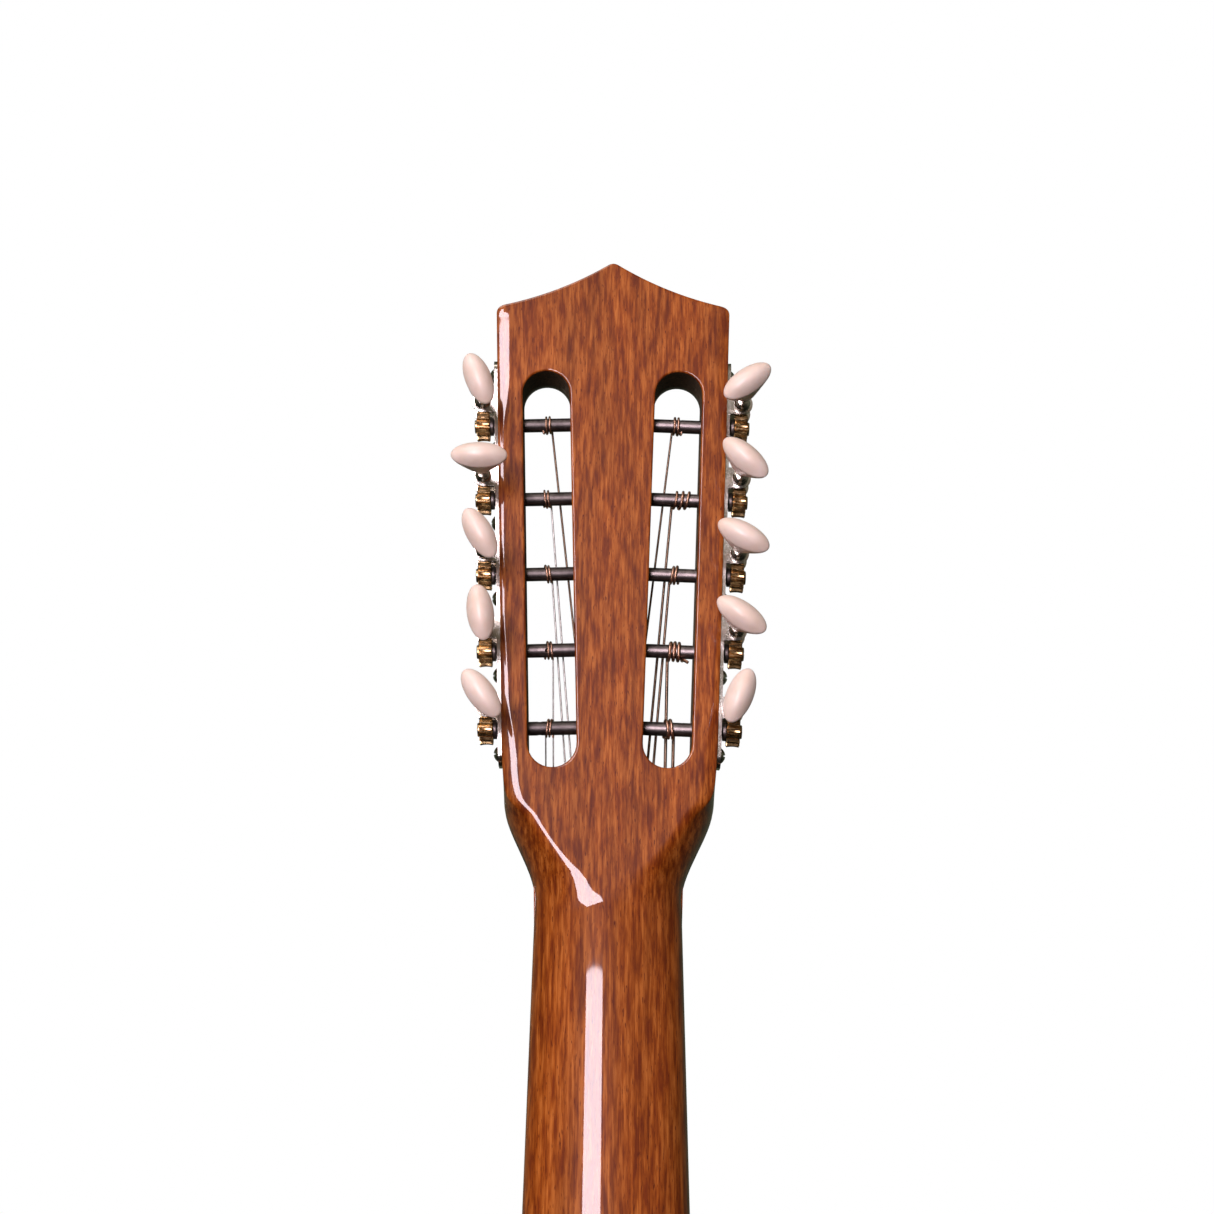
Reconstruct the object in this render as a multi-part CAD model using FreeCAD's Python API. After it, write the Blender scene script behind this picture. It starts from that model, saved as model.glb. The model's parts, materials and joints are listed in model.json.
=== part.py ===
"""Ten-string bouzouki: five double courses, flat soundboard, lightly arched back, slotted head.

Frame, in millimetres: +Z runs up the neck towards the head, the soundboard faces -Y and the back
faces +Y. +X is the treble side. The origin is on the centre line, in the plane where the fingerboard
is glued (Y = 0), at the head end of the nut. The head leans back from there about the X axis.
"""
import FreeCAD
import Part

import math
import os

from FreeCAD import Placement, Rotation, Vector

# ---------------------------------------------------------------- driving dimensions
SCALE = 650.0             # nut to bridge
NUT_WIDTH = 48.0
NUT_LENGTH = 5.0          # along the neck
NECK_SPREAD = 0.0172      # growth of the half width per millimetre of neck
BODY_FRET = 15            # the neck meets the body here
FRET_COUNT = 21

HEAD_ANGLE = 12.0         # degrees that the head leans back
HEAD_THICKNESS = 18.0     # veneer included
VENEER = 2.5
HEAD_CORNER_S = 196.7     # along the head, from the nut
HEAD_APEX_S = 213.2
HEAD_SIDE_AT_NUT = 33.9   # half width of the head's straight sides, drawn on to the nut
HEAD_SIDE_SLOPE = 0.031
HEAD_EDGE_ROUND = 2.0
HEAD_CORNER_ROUND = 2.5
HEAD_APEX_ROUND = 3.5
SHOULDER_LOW_S = -5.0     # where the shoulders start to widen
SHOULDER_S = 27.5         # where the sides become straight

SLOT_CENTRE = 16.5        # inside the side face
SLOT_WIDTH = 16.0
SLOT_LOW_S = 37.3
SLOT_HIGH_S = 173.0

ROLLER_FIRST_S = 51.2     # the roller nearest the nut
ROLLER_PITCH = 26.2
ROLLER_DEPTH = 10.0       # roller axis behind the head's front face
ROLLER_RADIUS = 2.3
TUNERS_A_SIDE = 5
GEAR_TEETH = 15
GEAR_RADIUS = 5.2
WORM_OFFSET = 7.0         # worm axis above the roller axis
WORM_RADIUS = 1.6
SHAFT_RADIUS = 1.5
GEAR_PLANE = 5.2          # middle of the gear outside the side face
BUTTON_CENTRE = 37.0      # behind the head's front face
BUTTON_LONG = 18.4
BUTTON_THICK = 8.6
BUTTON_LENGTH = 13.0

# rest angle of each button's long side, in degrees from the head's long axis, nut to tip
BUTTON_ANGLE = {"treble": (35.0, 7.0, 28.0, 88.0, 20.0), "bass": (20.0, -57.0, -63.0, -50.0, 52.0)}

BODY_RADIUS = 165.0       # lower bout
SIDE_ARC_RADIUS = 420.0
SHOULDER_ARC_RADIUS = 100.0
LOWER_ARC_ANGLE = 10.0    # where the lower bout hands over to the side arc
UPPER_ARC_ANGLE = 33.0    # where the side arc hands over to the shoulder arc
DEPTH_AT_NECK = 76.0
DEPTH_AT_TAIL = 86.0
BACK_ARCH_RADIUS = 3500.0

TOP_THICKNESS = 3.0
BACK_THICKNESS = 2.8
SIDE_THICKNESS = 2.2
BINDING_HEIGHT = 5.0
LINING_WIDTH = 5.5
LINING_HEIGHT = 12.0
FINGERBOARD_THICKNESS = 7.0

HOLE_HALF_WIDTH = 48.0    # oval sound hole
HOLE_HALF_HEIGHT = 34.0
HOLE_Z = -517.0
ROSETTE_GAP = 3.0
ROSETTE_WIDTH = 11.0
ROSETTE_DEPTH = 1.0

BRIDGE_HALF_LENGTH = 62.0
BRIDGE_WIDTH = 11.0
BRIDGE_TOP = 10.5         # height of the wood above the soundboard
SADDLE_WIDTH = 3.0
SADDLE_SLOT_DEPTH = 3.5

COURSES = 5
NUT_SPAN = 38.6           # between the outer courses at the nut
BRIDGE_SPAN = 62.0
PAIR_AT_NUT = 2.4
PAIR_AT_BRIDGE = 3.2
STRING_RADII = (0.25, 0.25, 0.3, 0.3, 0.38, 0.38, 0.45, 0.45, 0.55, 0.55)   # treble to bass
WOUND_FROM = 4            # strings from this one on are wound
FRET_HEIGHT = 1.1
NUT_STRING_GAP = 0.5      # string over the first fret
ACTION_AT_12 = 2.6

# ---------------------------------------------------------------- worked-out places
LEAN = math.radians(HEAD_ANGLE)
NUT_FACE_Z = -NUT_LENGTH
BRIDGE_Z = NUT_FACE_Z - SCALE
HALF_NUT = NUT_WIDTH / 2
SIDE_TILT = math.degrees(math.atan(HEAD_SIDE_SLOPE))


def fret_z(number):
    return NUT_FACE_Z - SCALE * (1 - 2 ** (-number / 12))


def neck_half(z):
    return HALF_NUT - NECK_SPREAD * z


BODY_TOP_Z = fret_z(BODY_FRET)
BOARD_END_Z = fret_z(FRET_COUNT) - 8.0
STRING_Y_NUT = -(FINGERBOARD_THICKNESS + FRET_HEIGHT + NUT_STRING_GAP)
STRING_RISE = (ACTION_AT_12 - NUT_STRING_GAP) / (SCALE / 2)
STRING_Y_BRIDGE = STRING_Y_NUT - STRING_RISE * SCALE

HEAD_FRAME = Placement(Vector(0, 0, 0), Rotation(Vector(1, 0, 0), -HEAD_ANGLE))
# a head side: local X points out of the side face, Y is depth from the head's front, Z runs up it
SIDE_FRAME = HEAD_FRAME.multiply(
    Placement(Vector(HEAD_SIDE_AT_NUT, 0, 0), Rotation(Vector(0, 1, 0), SIDE_TILT)))
ROLLER_PLACES = [ROLLER_FIRST_S + ROLLER_PITCH * i for i in range(TUNERS_A_SIDE)]
SCREW_PLACES = [s - 8.2 for s in ROLLER_PLACES] + [ROLLER_PLACES[-1] + ROLLER_PITCH - 8.2]


# ---------------------------------------------------------------- small helpers
def placed(shape, frame):
    moved = shape.copy()
    moved.Placement = frame.multiply(moved.Placement)
    return moved


def mirrored(shape):
    return shape.mirror(Vector(0, 0, 0), Vector(1, 0, 0))


def box(x, y, z):
    """A box from three (low, high) pairs."""
    return Part.makeBox(x[1] - x[0], y[1] - y[0], z[1] - z[0], Vector(x[0], y[0], z[0]))


def cylinder(radius, start, end):
    a, b = Vector(*start), Vector(*end)
    return Part.makeCylinder(radius, (b - a).Length, a, b - a)


def fused(shapes):
    first, rest = shapes[0], shapes[1:]
    return (first.multiFuse(rest) if rest else first).removeSplitter()


def prism(points, direction):
    outline = Part.makePolygon([Vector(*p) for p in points + points[:1]])
    return Part.Face(outline).extrude(Vector(*direction))


def half_oval(z, half_width, depth, front):
    """A closed section across the neck: flat in front, half an ellipse behind."""
    w, rear, corner = half_width, front + depth, math.sqrt(0.5)
    poles = [Vector(w, front, z), Vector(w, rear, z), Vector(0, rear, z),
             Vector(-w, rear, z), Vector(-w, front, z)]
    arc = Part.BSplineCurve()
    arc.buildFromPolesMultsKnots(poles, [3, 2, 3], [0.0, 0.5, 1.0], False, 2, [1, corner, 1, corner, 1])
    return Part.Wire([arc.toShape(), Part.makeLine(poles[-1], poles[0])])


def string_x(number, span, pair):
    course, partner = divmod(number, 2)
    middle = span / 2 - course * span / (COURSES - 1)
    return middle + (pair / 2 if partner == 0 else -pair / 2)


# ---------------------------------------------------------------- body shell
def body_arcs(inset):
    """Centres and radii of the outline's arcs on the treble side, drawn in by inset."""
    low, high = math.radians(LOWER_ARC_ANGLE), math.radians(UPPER_ARC_ANGLE)
    c1 = Vector(0, 0, 0)
    c2 = c1 - Vector(math.cos(low), 0, math.sin(low)) * (SIDE_ARC_RADIUS - BODY_RADIUS)
    c3 = c2 + Vector(math.cos(high), 0, math.sin(high)) * (SIDE_ARC_RADIUS - SHOULDER_ARC_RADIUS)
    lift = BODY_TOP_Z - (c3.z + SHOULDER_ARC_RADIUS)
    up = Vector(0, 0, lift)
    radii = (BODY_RADIUS - inset, SIDE_ARC_RADIUS - inset, SHOULDER_ARC_RADIUS - inset)
    return (c1 + up, c2 + up, c3 + up), radii, (low, high)


def body_face(inset, y=0.0):
    """The body's outline as a face at height y, drawn in by inset."""
    (c1, c2, c3), (r1, r2, r3), (low, high) = body_arcs(inset)

    def on(centre, radius, angle):
        return Vector(centre.x + radius * math.cos(angle), y, centre.z + radius * math.sin(angle))

    side = [
        (on(c1, r1, -math.pi / 2), on(c1, r1, -math.pi / 4), on(c1, r1, low)),
        (on(c1, r1, low), on(c2, r2, (low + high) / 2), on(c2, r2, high)),
        (on(c2, r2, high), on(c3, r3, (high + math.pi / 2) / 2), on(c3, r3, math.pi / 2)),
    ]
    edges = [Part.Arc(*three).toShape() for three in side]
    flip = [[Vector(-p.x, p.y, p.z) for p in three] for three in side]
    edges.append(Part.makeLine(side[-1][2], flip[-1][2]))
    edges += [Part.Arc(*reversed(three)).toShape() for three in reversed(flip)]
    return Part.Face(Part.Wire(edges))


def body_prism(inset, low, high):
    return body_face(inset, low).extrude(Vector(0, high - low, 0))


BODY_CENTRES, BODY_RADII, _ = body_arcs(0.0)
TAIL_Z = BODY_CENTRES[0].z - BODY_RADIUS
WIDEST_Z = BODY_CENTRES[0].z
BODY_LENGTH = BODY_TOP_Z - TAIL_Z
# the sphere whose surface the back follows, from the depths at the two ends
ARCH_Z = (BODY_TOP_Z + TAIL_Z) / 2 - (DEPTH_AT_TAIL - DEPTH_AT_NECK) * BACK_ARCH_RADIUS / BODY_LENGTH
ARCH_Y = DEPTH_AT_NECK - math.sqrt(BACK_ARCH_RADIUS ** 2 - (BODY_TOP_Z - ARCH_Z) ** 2)


def arch(below):
    """The inside of the back's arch, lowered by below."""
    return Part.makeSphere(BACK_ARCH_RADIUS - below, Vector(0, ARCH_Y, ARCH_Z))


def body_ring(inner, outer, low, high):
    return body_prism(outer, low, high).cut(body_prism(inner, low, high))


DEEP = DEPTH_AT_TAIL + 10
ALL_HEAD = (-80, 80)      # wider than the head and the neck
ALL_BODY = (-200, 200)    # wider than the body
BELOW_HEAD = (-600, -200)


def soundboard():
    board = body_prism(SIDE_THICKNESS, 0, TOP_THICKNESS)
    board = board.cut(oval(0, -1, TOP_THICKNESS + 1))
    return board.cut(rosette())


def oval(grow, low, high):
    """The sound hole's oval, grown all round, from Y low to high."""
    ellipse = Part.Ellipse(Vector(HOLE_HALF_WIDTH + grow, low, HOLE_Z),
                           Vector(0, low, HOLE_Z + HOLE_HALF_HEIGHT + grow), Vector(0, low, HOLE_Z))
    return Part.Face(Part.Wire(ellipse.toShape())).extrude(Vector(0, high - low, 0))


def rosette():
    outside = oval(ROSETTE_GAP + ROSETTE_WIDTH, 0, ROSETTE_DEPTH)
    ring = outside.cut(oval(ROSETTE_GAP, 0, ROSETTE_DEPTH))
    return ring.cut(box((-60, 60), (-1, 2), (BOARD_END_Z, BOARD_END_Z + 60)))


def back():
    return body_prism(SIDE_THICKNESS, 40, DEEP).common(arch(0)).cut(arch(BACK_THICKNESS))


TENON = ((-11.0, 11.0), (8.0, 64.0), (BODY_TOP_Z - 14.0, BODY_TOP_Z + 1.0))
PIN_SHANK_RADIUS = 3.6
PIN_HEAD_RADIUS = 6.0
END_PIN_Y = 30.0
TAIL_SCREWS = ((-10.0, 12.0), (10.0, 12.0), (0.0, 40.0))
TAIL_SCREW_RADIUS = 1.5
TAIL_SCREW_DEPTH = 14.0


def tail_bores():
    """Bores in the tail end for the end pin and the tailpiece's screws."""
    bores = [cylinder(PIN_SHANK_RADIUS, (0, END_PIN_Y, TAIL_Z - 20), (0, END_PIN_Y, TAIL_Z + 16))]
    return bores + [cylinder(TAIL_SCREW_RADIUS, (x, y, TAIL_Z - 20), (x, y, TAIL_Z + TAIL_SCREW_DEPTH))
                    for x, y in TAIL_SCREWS]


def rod_channel():
    """The groove under the fingerboard that the truss rod lies in, on into the neck block."""
    return box(ROD_CHANNEL_X, (-1, ROD_CHANNEL_DEPTH), (-600, -14))


def side_half(sign):
    ring = body_ring(SIDE_THICKNESS, 0, BINDING_HEIGHT, DEEP).common(arch(BINDING_HEIGHT))
    half = box((0, 400), (-1, 200), (-900, 0)) if sign > 0 else box((-400, 0), (-1, 200), (-900, 0))
    return ring.common(half).cut([box(*TENON), rod_channel()] + tail_bores())


def bindings():
    front = body_ring(SIDE_THICKNESS, 0, 0, BINDING_HEIGHT).cut(rod_channel())
    rear = body_ring(SIDE_THICKNESS, 0, 40, DEEP).common(arch(0)).cut(arch(BINDING_HEIGHT))
    return [front, rear]


BLOCK_HALF_WIDTH = 34.0
NECK_BLOCK_LENGTH = 42.0
TAIL_BLOCK_LENGTH = 20.0


def end_block(z_low, z_high):
    room = body_prism(SIDE_THICKNESS, TOP_THICKNESS, DEEP).common(arch(BACK_THICKNESS))
    return room.common(box((-BLOCK_HALF_WIDTH, BLOCK_HALF_WIDTH), (-1, 200), (z_low, z_high)))


def neck_block():
    block = end_block(BODY_TOP_Z - NECK_BLOCK_LENGTH, BODY_TOP_Z + 5)
    return block.cut([box(*TENON), rod_channel()])


def tail_block():
    return end_block(TAIL_Z - 5, TAIL_Z + TAIL_BLOCK_LENGTH).cut(tail_bores())


def linings():
    inner, outer = SIDE_THICKNESS + LINING_WIDTH, SIDE_THICKNESS
    front = body_ring(inner, outer, TOP_THICKNESS, TOP_THICKNESS + LINING_HEIGHT)
    rear = body_ring(inner, outer, 40, DEEP).common(arch(BACK_THICKNESS)).cut(
        arch(BACK_THICKNESS + LINING_HEIGHT))
    blocks = [box((-BLOCK_HALF_WIDTH, BLOCK_HALF_WIDTH), (-1, 200),
                  (BODY_TOP_Z - NECK_BLOCK_LENGTH, BODY_TOP_Z + 5)),
              box((-BLOCK_HALF_WIDTH, BLOCK_HALF_WIDTH), (-1, 200), (TAIL_Z - 5, TAIL_Z + TAIL_BLOCK_LENGTH))]
    strips = []
    for ring in (front, rear):
        for block in blocks:
            ring = ring.cut(block)
        strips += ring.Solids
    return strips


BRACE_WIDTH = 9.0
TOP_BRACE_HEIGHT = 13.0
BACK_BRACE_HEIGHT = 14.0
TOP_BRACE_Z = (HOLE_Z + HOLE_HALF_HEIGHT + 18, HOLE_Z - HOLE_HALF_HEIGHT - 18, BRIDGE_Z + 30, BRIDGE_Z - 35)
BACK_BRACE_Z = (HOLE_Z + 42, HOLE_Z - 38, WIDEST_Z - 8, BRIDGE_Z - 52)


def braces():
    """Ladder bracing: bars across the inside of the top and of the back, between the linings."""
    room = body_prism(SIDE_THICKNESS + LINING_WIDTH + 0.5, TOP_THICKNESS, DEEP)
    bars = []
    for z in TOP_BRACE_Z:
        bar = box(ALL_BODY, (TOP_THICKNESS, TOP_THICKNESS + TOP_BRACE_HEIGHT),
                  (z - BRACE_WIDTH / 2, z + BRACE_WIDTH / 2))
        bars.append(bar.common(room))
    inside = room.common(arch(BACK_THICKNESS)).cut(arch(BACK_THICKNESS + BACK_BRACE_HEIGHT))
    for z in BACK_BRACE_Z:
        bars.append(inside.common(box(ALL_BODY, (-1, 200), (z - BRACE_WIDTH / 2, z + BRACE_WIDTH / 2))))
    return bars


# ---------------------------------------------------------------- neck and head
HEEL_START_Z = BODY_TOP_Z + 78.0
HEEL_OVAL_DEPTH = 92.0
HEEL_CAP_THICKNESS = 2.8
HEEL_POWER = 1.6
NECK_DEPTH_AT_NUT = 16.7
NECK_DEPTH_GROWTH = 0.0055
ROD_CHANNEL_X = (-3.3, 3.3)
ROD_CHANNEL_DEPTH = 10.0
ROD_RADIUS = 3.0
ROD_Y = 6.0


def neck_depth(z):
    depth = NECK_DEPTH_AT_NUT - NECK_DEPTH_GROWTH * z
    if z < HEEL_START_Z:
        share = ((HEEL_START_Z - z) / (HEEL_START_Z - BODY_TOP_Z)) ** HEEL_POWER
        depth += (HEEL_OVAL_DEPTH - depth) * min(share, 1.0) ** 2 * (3 - 2 * min(share, 1.0))
    return depth


def neck_section(z):
    return half_oval(z, neck_half(z), neck_depth(z), 0)


def neck_loft():
    shaft = Part.makeLoft([neck_section(0), neck_section(HEEL_START_Z + 12)], True, True)
    heel = [HEEL_START_Z + 12 - 6 * step for step in range(15)] + [BODY_TOP_Z - 3]
    return fused([shaft, Part.makeLoft([neck_section(z) for z in heel], True, False)])


# the swelling where the neck runs out into the flat back of the head
FLARE_START_Z = -14.4
FLARE_RUN = 9.0           # over this length its slope builds up
FLARE_SLOPE = 0.51
FLARE_TOP_S = 38.0
FLARE_UPRIGHT_Z = 20.0    # above this it steepens into the upright sides
FLARE_STEEPENING = 0.07


def flare_depth(z):
    """How far the round of the neck reaches behind the front plane."""
    run = z - FLARE_START_Z
    rise = run * run / (2 * FLARE_RUN) if run < FLARE_RUN else run - FLARE_RUN / 2
    depth = NECK_DEPTH_AT_NUT + FLARE_SLOPE * rise
    if z > FLARE_UPRIGHT_Z:
        depth += FLARE_STEEPENING * (z - FLARE_UPRIGHT_Z) ** 2
    return depth


def head_side(s):
    """Half width of the head at s, with the shoulder's S-curve up to the straight sides."""
    straight = HEAD_SIDE_AT_NUT + HEAD_SIDE_SLOPE * s
    share = min(1.0, max(0.0, (s - SHOULDER_LOW_S) / (SHOULDER_S - SHOULDER_LOW_S)))
    ease = share * share * (3 - 2 * share)
    return HALF_NUT + (straight - HALF_NUT) * ease


def flare_section(z):
    if z < 0:
        return half_oval(z, neck_half(z) + head_side(z) - HALF_NUT, flare_depth(z), 0)
    return half_oval(z, head_side(z / math.cos(LEAN)), flare_depth(z), z * math.tan(LEAN))


FLARE_TOP_Z = FLARE_TOP_S * math.cos(LEAN)


def flare_loft():
    low = [FLARE_START_Z * (1 - step / 4) for step in range(5)]
    high = [FLARE_TOP_Z * step / 8 for step in range(9)]
    return fused([Part.makeLoft([flare_section(z) for z in low], True, False),
                  Part.makeLoft([flare_section(z) for z in high], True, False)])


CORNER_X = HEAD_SIDE_AT_NUT + HEAD_SIDE_SLOPE * HEAD_CORNER_S
CROWN_SAG = 2.0           # hollow of the crown's curve on each side


def head_face(low_s, depth):
    """The head's outline above low_s in the head's own frame, at a depth behind its front."""
    def at(x, s):
        return Vector(x, depth, s)

    low_x = HEAD_SIDE_AT_NUT + HEAD_SIDE_SLOPE * low_s
    run = math.hypot(CORNER_X, HEAD_APEX_S - HEAD_CORNER_S)
    mid_x = CORNER_X / 2 - CROWN_SAG * (HEAD_APEX_S - HEAD_CORNER_S) / run
    mid_s = (HEAD_CORNER_S + HEAD_APEX_S) / 2 - CROWN_SAG * CORNER_X / run
    edges = [
        Part.makeLine(at(-low_x, low_s), at(low_x, low_s)),
        Part.makeLine(at(low_x, low_s), at(CORNER_X, HEAD_CORNER_S)),
        Part.Arc(at(CORNER_X, HEAD_CORNER_S), at(mid_x, mid_s), at(0, HEAD_APEX_S)).toShape(),
        Part.Arc(at(0, HEAD_APEX_S), at(-mid_x, mid_s), at(-CORNER_X, HEAD_CORNER_S)).toShape(),
        Part.makeLine(at(-CORNER_X, HEAD_CORNER_S), at(-low_x, low_s)),
    ]
    return Part.Face(Part.Wire(edges))


def head_slab(low_s, depth, thickness):
    """The straight-sided part of the head, its two corners and its apex rounded."""
    slab = head_face(low_s, depth).extrude(Vector(0, thickness, 0))
    across = [e for e in slab.Edges if e.BoundBox.YLength > thickness / 2 and e.BoundBox.ZLength < 0.01]
    corners = [e for e in across if abs(e.BoundBox.ZMin - HEAD_CORNER_S) < 0.01]
    slab = slab.makeFillet(HEAD_CORNER_ROUND, corners)
    apex = [e for e in slab.Edges if e.BoundBox.ZMin > HEAD_APEX_S - 0.01]
    return slab.makeFillet(HEAD_APEX_ROUND, apex)


RAMP_LENGTH = 18.0        # below the slot's round end, where the strings sink in
RAMP_DEPTH = 8.0
RELIEF_WIDTH = 2.0        # bevel along the slot's inner edge
RELIEF_DEPTH = 3.5


def slot_cutter():
    """One string slot on the treble side, with the ramp that lets the strings down into it."""
    radius = SLOT_WIDTH / 2
    low, high = SLOT_LOW_S + radius, SLOT_HIGH_S - radius
    x = -SLOT_CENTRE
    through = (-5, HEAD_THICKNESS + 5)
    parts = [box((x - radius, x + radius), through, (low, high))]
    for s in (low, high):
        parts.append(cylinder(radius, (x, through[0], s), (x, through[1], s)))
    edge = x - radius
    ramp = prism([(edge, 0, SLOT_LOW_S - RAMP_LENGTH), (edge, 0, low), (edge, RAMP_DEPTH, low)],
                 (SLOT_WIDTH, 0, 0))
    relief = prism([(edge, -1, low), (edge + 1, -1, low), (edge + 1, RELIEF_DEPTH, low),
                    (edge, RELIEF_DEPTH, low), (edge - RELIEF_WIDTH, 0, low), (edge - RELIEF_WIDTH, -1, low)],
                   (0, 0, high - low))
    return placed(fused(parts + [ramp, relief]), SIDE_FRAME)


def roller_bore(radius):
    """Where a roller passes through the side and ends in the middle of the head, for each roller."""
    deepest = -(SLOT_CENTRE + SLOT_WIDTH / 2 + 5.5)
    return [placed(cylinder(radius, (2, ROLLER_DEPTH, s), (deepest, ROLLER_DEPTH, s)), SIDE_FRAME)
            for s in ROLLER_PLACES]


SCREW_SHANK = 1.2
SCREW_LENGTH = 7.0


def screw_shanks():
    ends = [((PLATE_THICKNESS, ROLLER_DEPTH, s), (-SCREW_LENGTH, ROLLER_DEPTH, s)) for s in SCREW_PLACES]
    return [placed(cylinder(SCREW_SHANK, outer, inner), SIDE_FRAME) for outer, inner in ends]


def head_cutters():
    one_side = [slot_cutter()] + roller_bore(ROLLER_RADIUS + 0.3) + screw_shanks()
    return one_side + [mirrored(cutter) for cutter in one_side]


def neck():
    behind_veneer = placed(box(ALL_HEAD, (VENEER, HEAD_THICKNESS), (-3, 260)), HEAD_FRAME)
    under_head = placed(box(ALL_HEAD, (-10, HEAD_THICKNESS), (-20, 260)), HEAD_FRAME)
    flare = flare_loft()
    low_flare = flare.common(box(ALL_HEAD, (0, 80), (FLARE_START_Z - 1, 0))).common(under_head)
    high_flare = flare.common(box(ALL_HEAD, (0, 80), (0, 80))).common(behind_veneer)
    slab = head_slab(FLARE_TOP_S, VENEER, HEAD_THICKNESS - VENEER)
    rear_edges = [e for e in slab.Edges
                  if e.BoundBox.YMin > HEAD_THICKNESS - 0.01 and e.BoundBox.ZMax > FLARE_TOP_S + 1]
    slab = placed(slab.makeFillet(HEAD_EDGE_ROUND, rear_edges), HEAD_FRAME)
    whole = fused([neck_loft(), low_flare, high_flare, slab])
    whole = whole.cut(box(ALL_HEAD, (DEPTH_AT_NECK - HEEL_CAP_THICKNESS, 200), BELOW_HEAD))
    whole = whole.cut(body_prism(0, -5, DEEP))
    whole = fused([whole, box(*TENON)])
    return whole.cut([rod_channel()] + head_cutters())


def heel_cap():
    cap = neck_loft().common(box(ALL_HEAD, (DEPTH_AT_NECK - HEEL_CAP_THICKNESS, DEPTH_AT_NECK), BELOW_HEAD))
    return cap.cut(body_prism(0, -5, DEEP))


def head_veneer():
    slab = head_slab(FLARE_TOP_S, 0, VENEER)
    low = placed(box(ALL_HEAD, (0, VENEER), (-3.0, FLARE_TOP_S)), HEAD_FRAME)
    tongue = flare_loft().common(low).common(box(ALL_HEAD, (-5, 80), (0, 80)))
    whole = fused([placed(slab, HEAD_FRAME), tongue])
    for cutter in (slot_cutter(), mirrored(slot_cutter())):
        whole = whole.cut(cutter)
    return whole


# ---------------------------------------------------------------- fingerboard, frets, nut, rod
def fingerboard():
    top, low = NUT_FACE_Z, BOARD_END_Z
    face = [(-neck_half(top), 0, top), (neck_half(top), 0, top),
            (neck_half(low), 0, low), (-neck_half(low), 0, low)]
    board = prism(face, (0, -FINGERBOARD_THICKNESS, 0))
    board = board.cut([fret_tang(number) for number in range(1, FRET_COUNT + 1)])
    return board.cut(position_dots())


TANG_DEPTH = 2.0
TANG_WIDTH = 0.6
FRET_HALF_WIDTH = 1.2


def fret_tang(number):
    z, half = fret_z(number), neck_half(fret_z(number)) - 0.6
    return box((-half, half), (-FINGERBOARD_THICKNESS, -FINGERBOARD_THICKNESS + TANG_DEPTH),
               (z - TANG_WIDTH / 2, z + TANG_WIDTH / 2))


def fret(number):
    z, half = fret_z(number), neck_half(fret_z(number)) - 0.3
    foot = -FINGERBOARD_THICKNESS
    arc = Part.Arc(Vector(-half, foot, z - FRET_HALF_WIDTH), Vector(-half, foot - FRET_HEIGHT, z),
                   Vector(-half, foot, z + FRET_HALF_WIDTH)).toShape()
    base = Part.makeLine(Vector(-half, foot, z + FRET_HALF_WIDTH), Vector(-half, foot, z - FRET_HALF_WIDTH))
    crown = Part.Face(Part.Wire([arc, base])).extrude(Vector(2 * half, 0, 0))
    return fused([crown, fret_tang(number)])


DOT_FRETS = (3, 5, 7, 10, 15, 17, 19)
OCTAVE_FRET = 12
OCTAVE_DOT_X = 14.0
DOT_RADIUS = 3.0
DOT_DEPTH = 1.5


def position_dots():
    dots = []
    front, floor = -FINGERBOARD_THICKNESS, -FINGERBOARD_THICKNESS + DOT_DEPTH
    octave = [(-OCTAVE_DOT_X, OCTAVE_FRET), (OCTAVE_DOT_X, OCTAVE_FRET)]
    for x, number in [(0, number) for number in DOT_FRETS] + octave:
        z = (fret_z(number) + fret_z(number - 1)) / 2
        dots.append(cylinder(DOT_RADIUS, (x, front, z), (x, floor, z)))
    return dots


NUT_TOP = STRING_Y_NUT - 1.0
NUT_ROUND = 1.0
NOTCH_OVERRUN = 2.0


def nut():
    blank = box((-HALF_NUT, HALF_NUT), (NUT_TOP, 0), (NUT_FACE_Z, 0))
    crown = [e for e in blank.Edges if e.BoundBox.YMax < NUT_TOP + 0.01 and e.BoundBox.XLength > 10]
    blank = blank.makeFillet(NUT_ROUND, crown)
    return blank.cut([nut_notch(number) for number in range(2 * COURSES)])


def nut_notch(number):
    """A groove just wider than the string, sloping the way the string leaves for its roller."""
    radius = STRING_RADII[number] + 0.06
    start, end = string_at_nut(number), string_at_roller(number)
    along = (end - start).normalize()
    a, b = start - along * NOTCH_OVERRUN, start + along * (NUT_LENGTH + 2 * NOTCH_OVERRUN)
    side = Vector(radius, 0, 0)
    floor = Part.Face(Part.makePolygon([a - side, a + side, b + side, b - side, a - side]))
    return fused([cylinder(radius, a, b), floor.extrude(Vector(0, -3, 0))])


def truss_rod():
    start, end = (0, ROD_Y, -18), (0, ROD_Y, BODY_TOP_Z - NECK_BLOCK_LENGTH - 6)
    rod = cylinder(ROD_RADIUS, start, end)
    anchor = box((-3.2, 3.2), (ROD_Y - 3.4, ROD_Y + 3.4), (-26, -18))
    return fused([rod, anchor])


ROD_NUT_RADIUS = 4.6
HEX_RADIUS = 2.9          # socket for the key


def truss_rod_nut():
    top = BODY_TOP_Z - NECK_BLOCK_LENGTH - 6.3
    centre_y = ROD_Y + 2.2
    barrel = cylinder(ROD_NUT_RADIUS, (0, centre_y, top), (0, centre_y, top - 9))
    turns = [math.radians(60 * k) for k in range(6)]
    corners = [(HEX_RADIUS * math.cos(a), centre_y + HEX_RADIUS * math.sin(a), top - 4) for a in turns]
    return barrel.cut(prism(corners, (0, 0, -6)))


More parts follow.
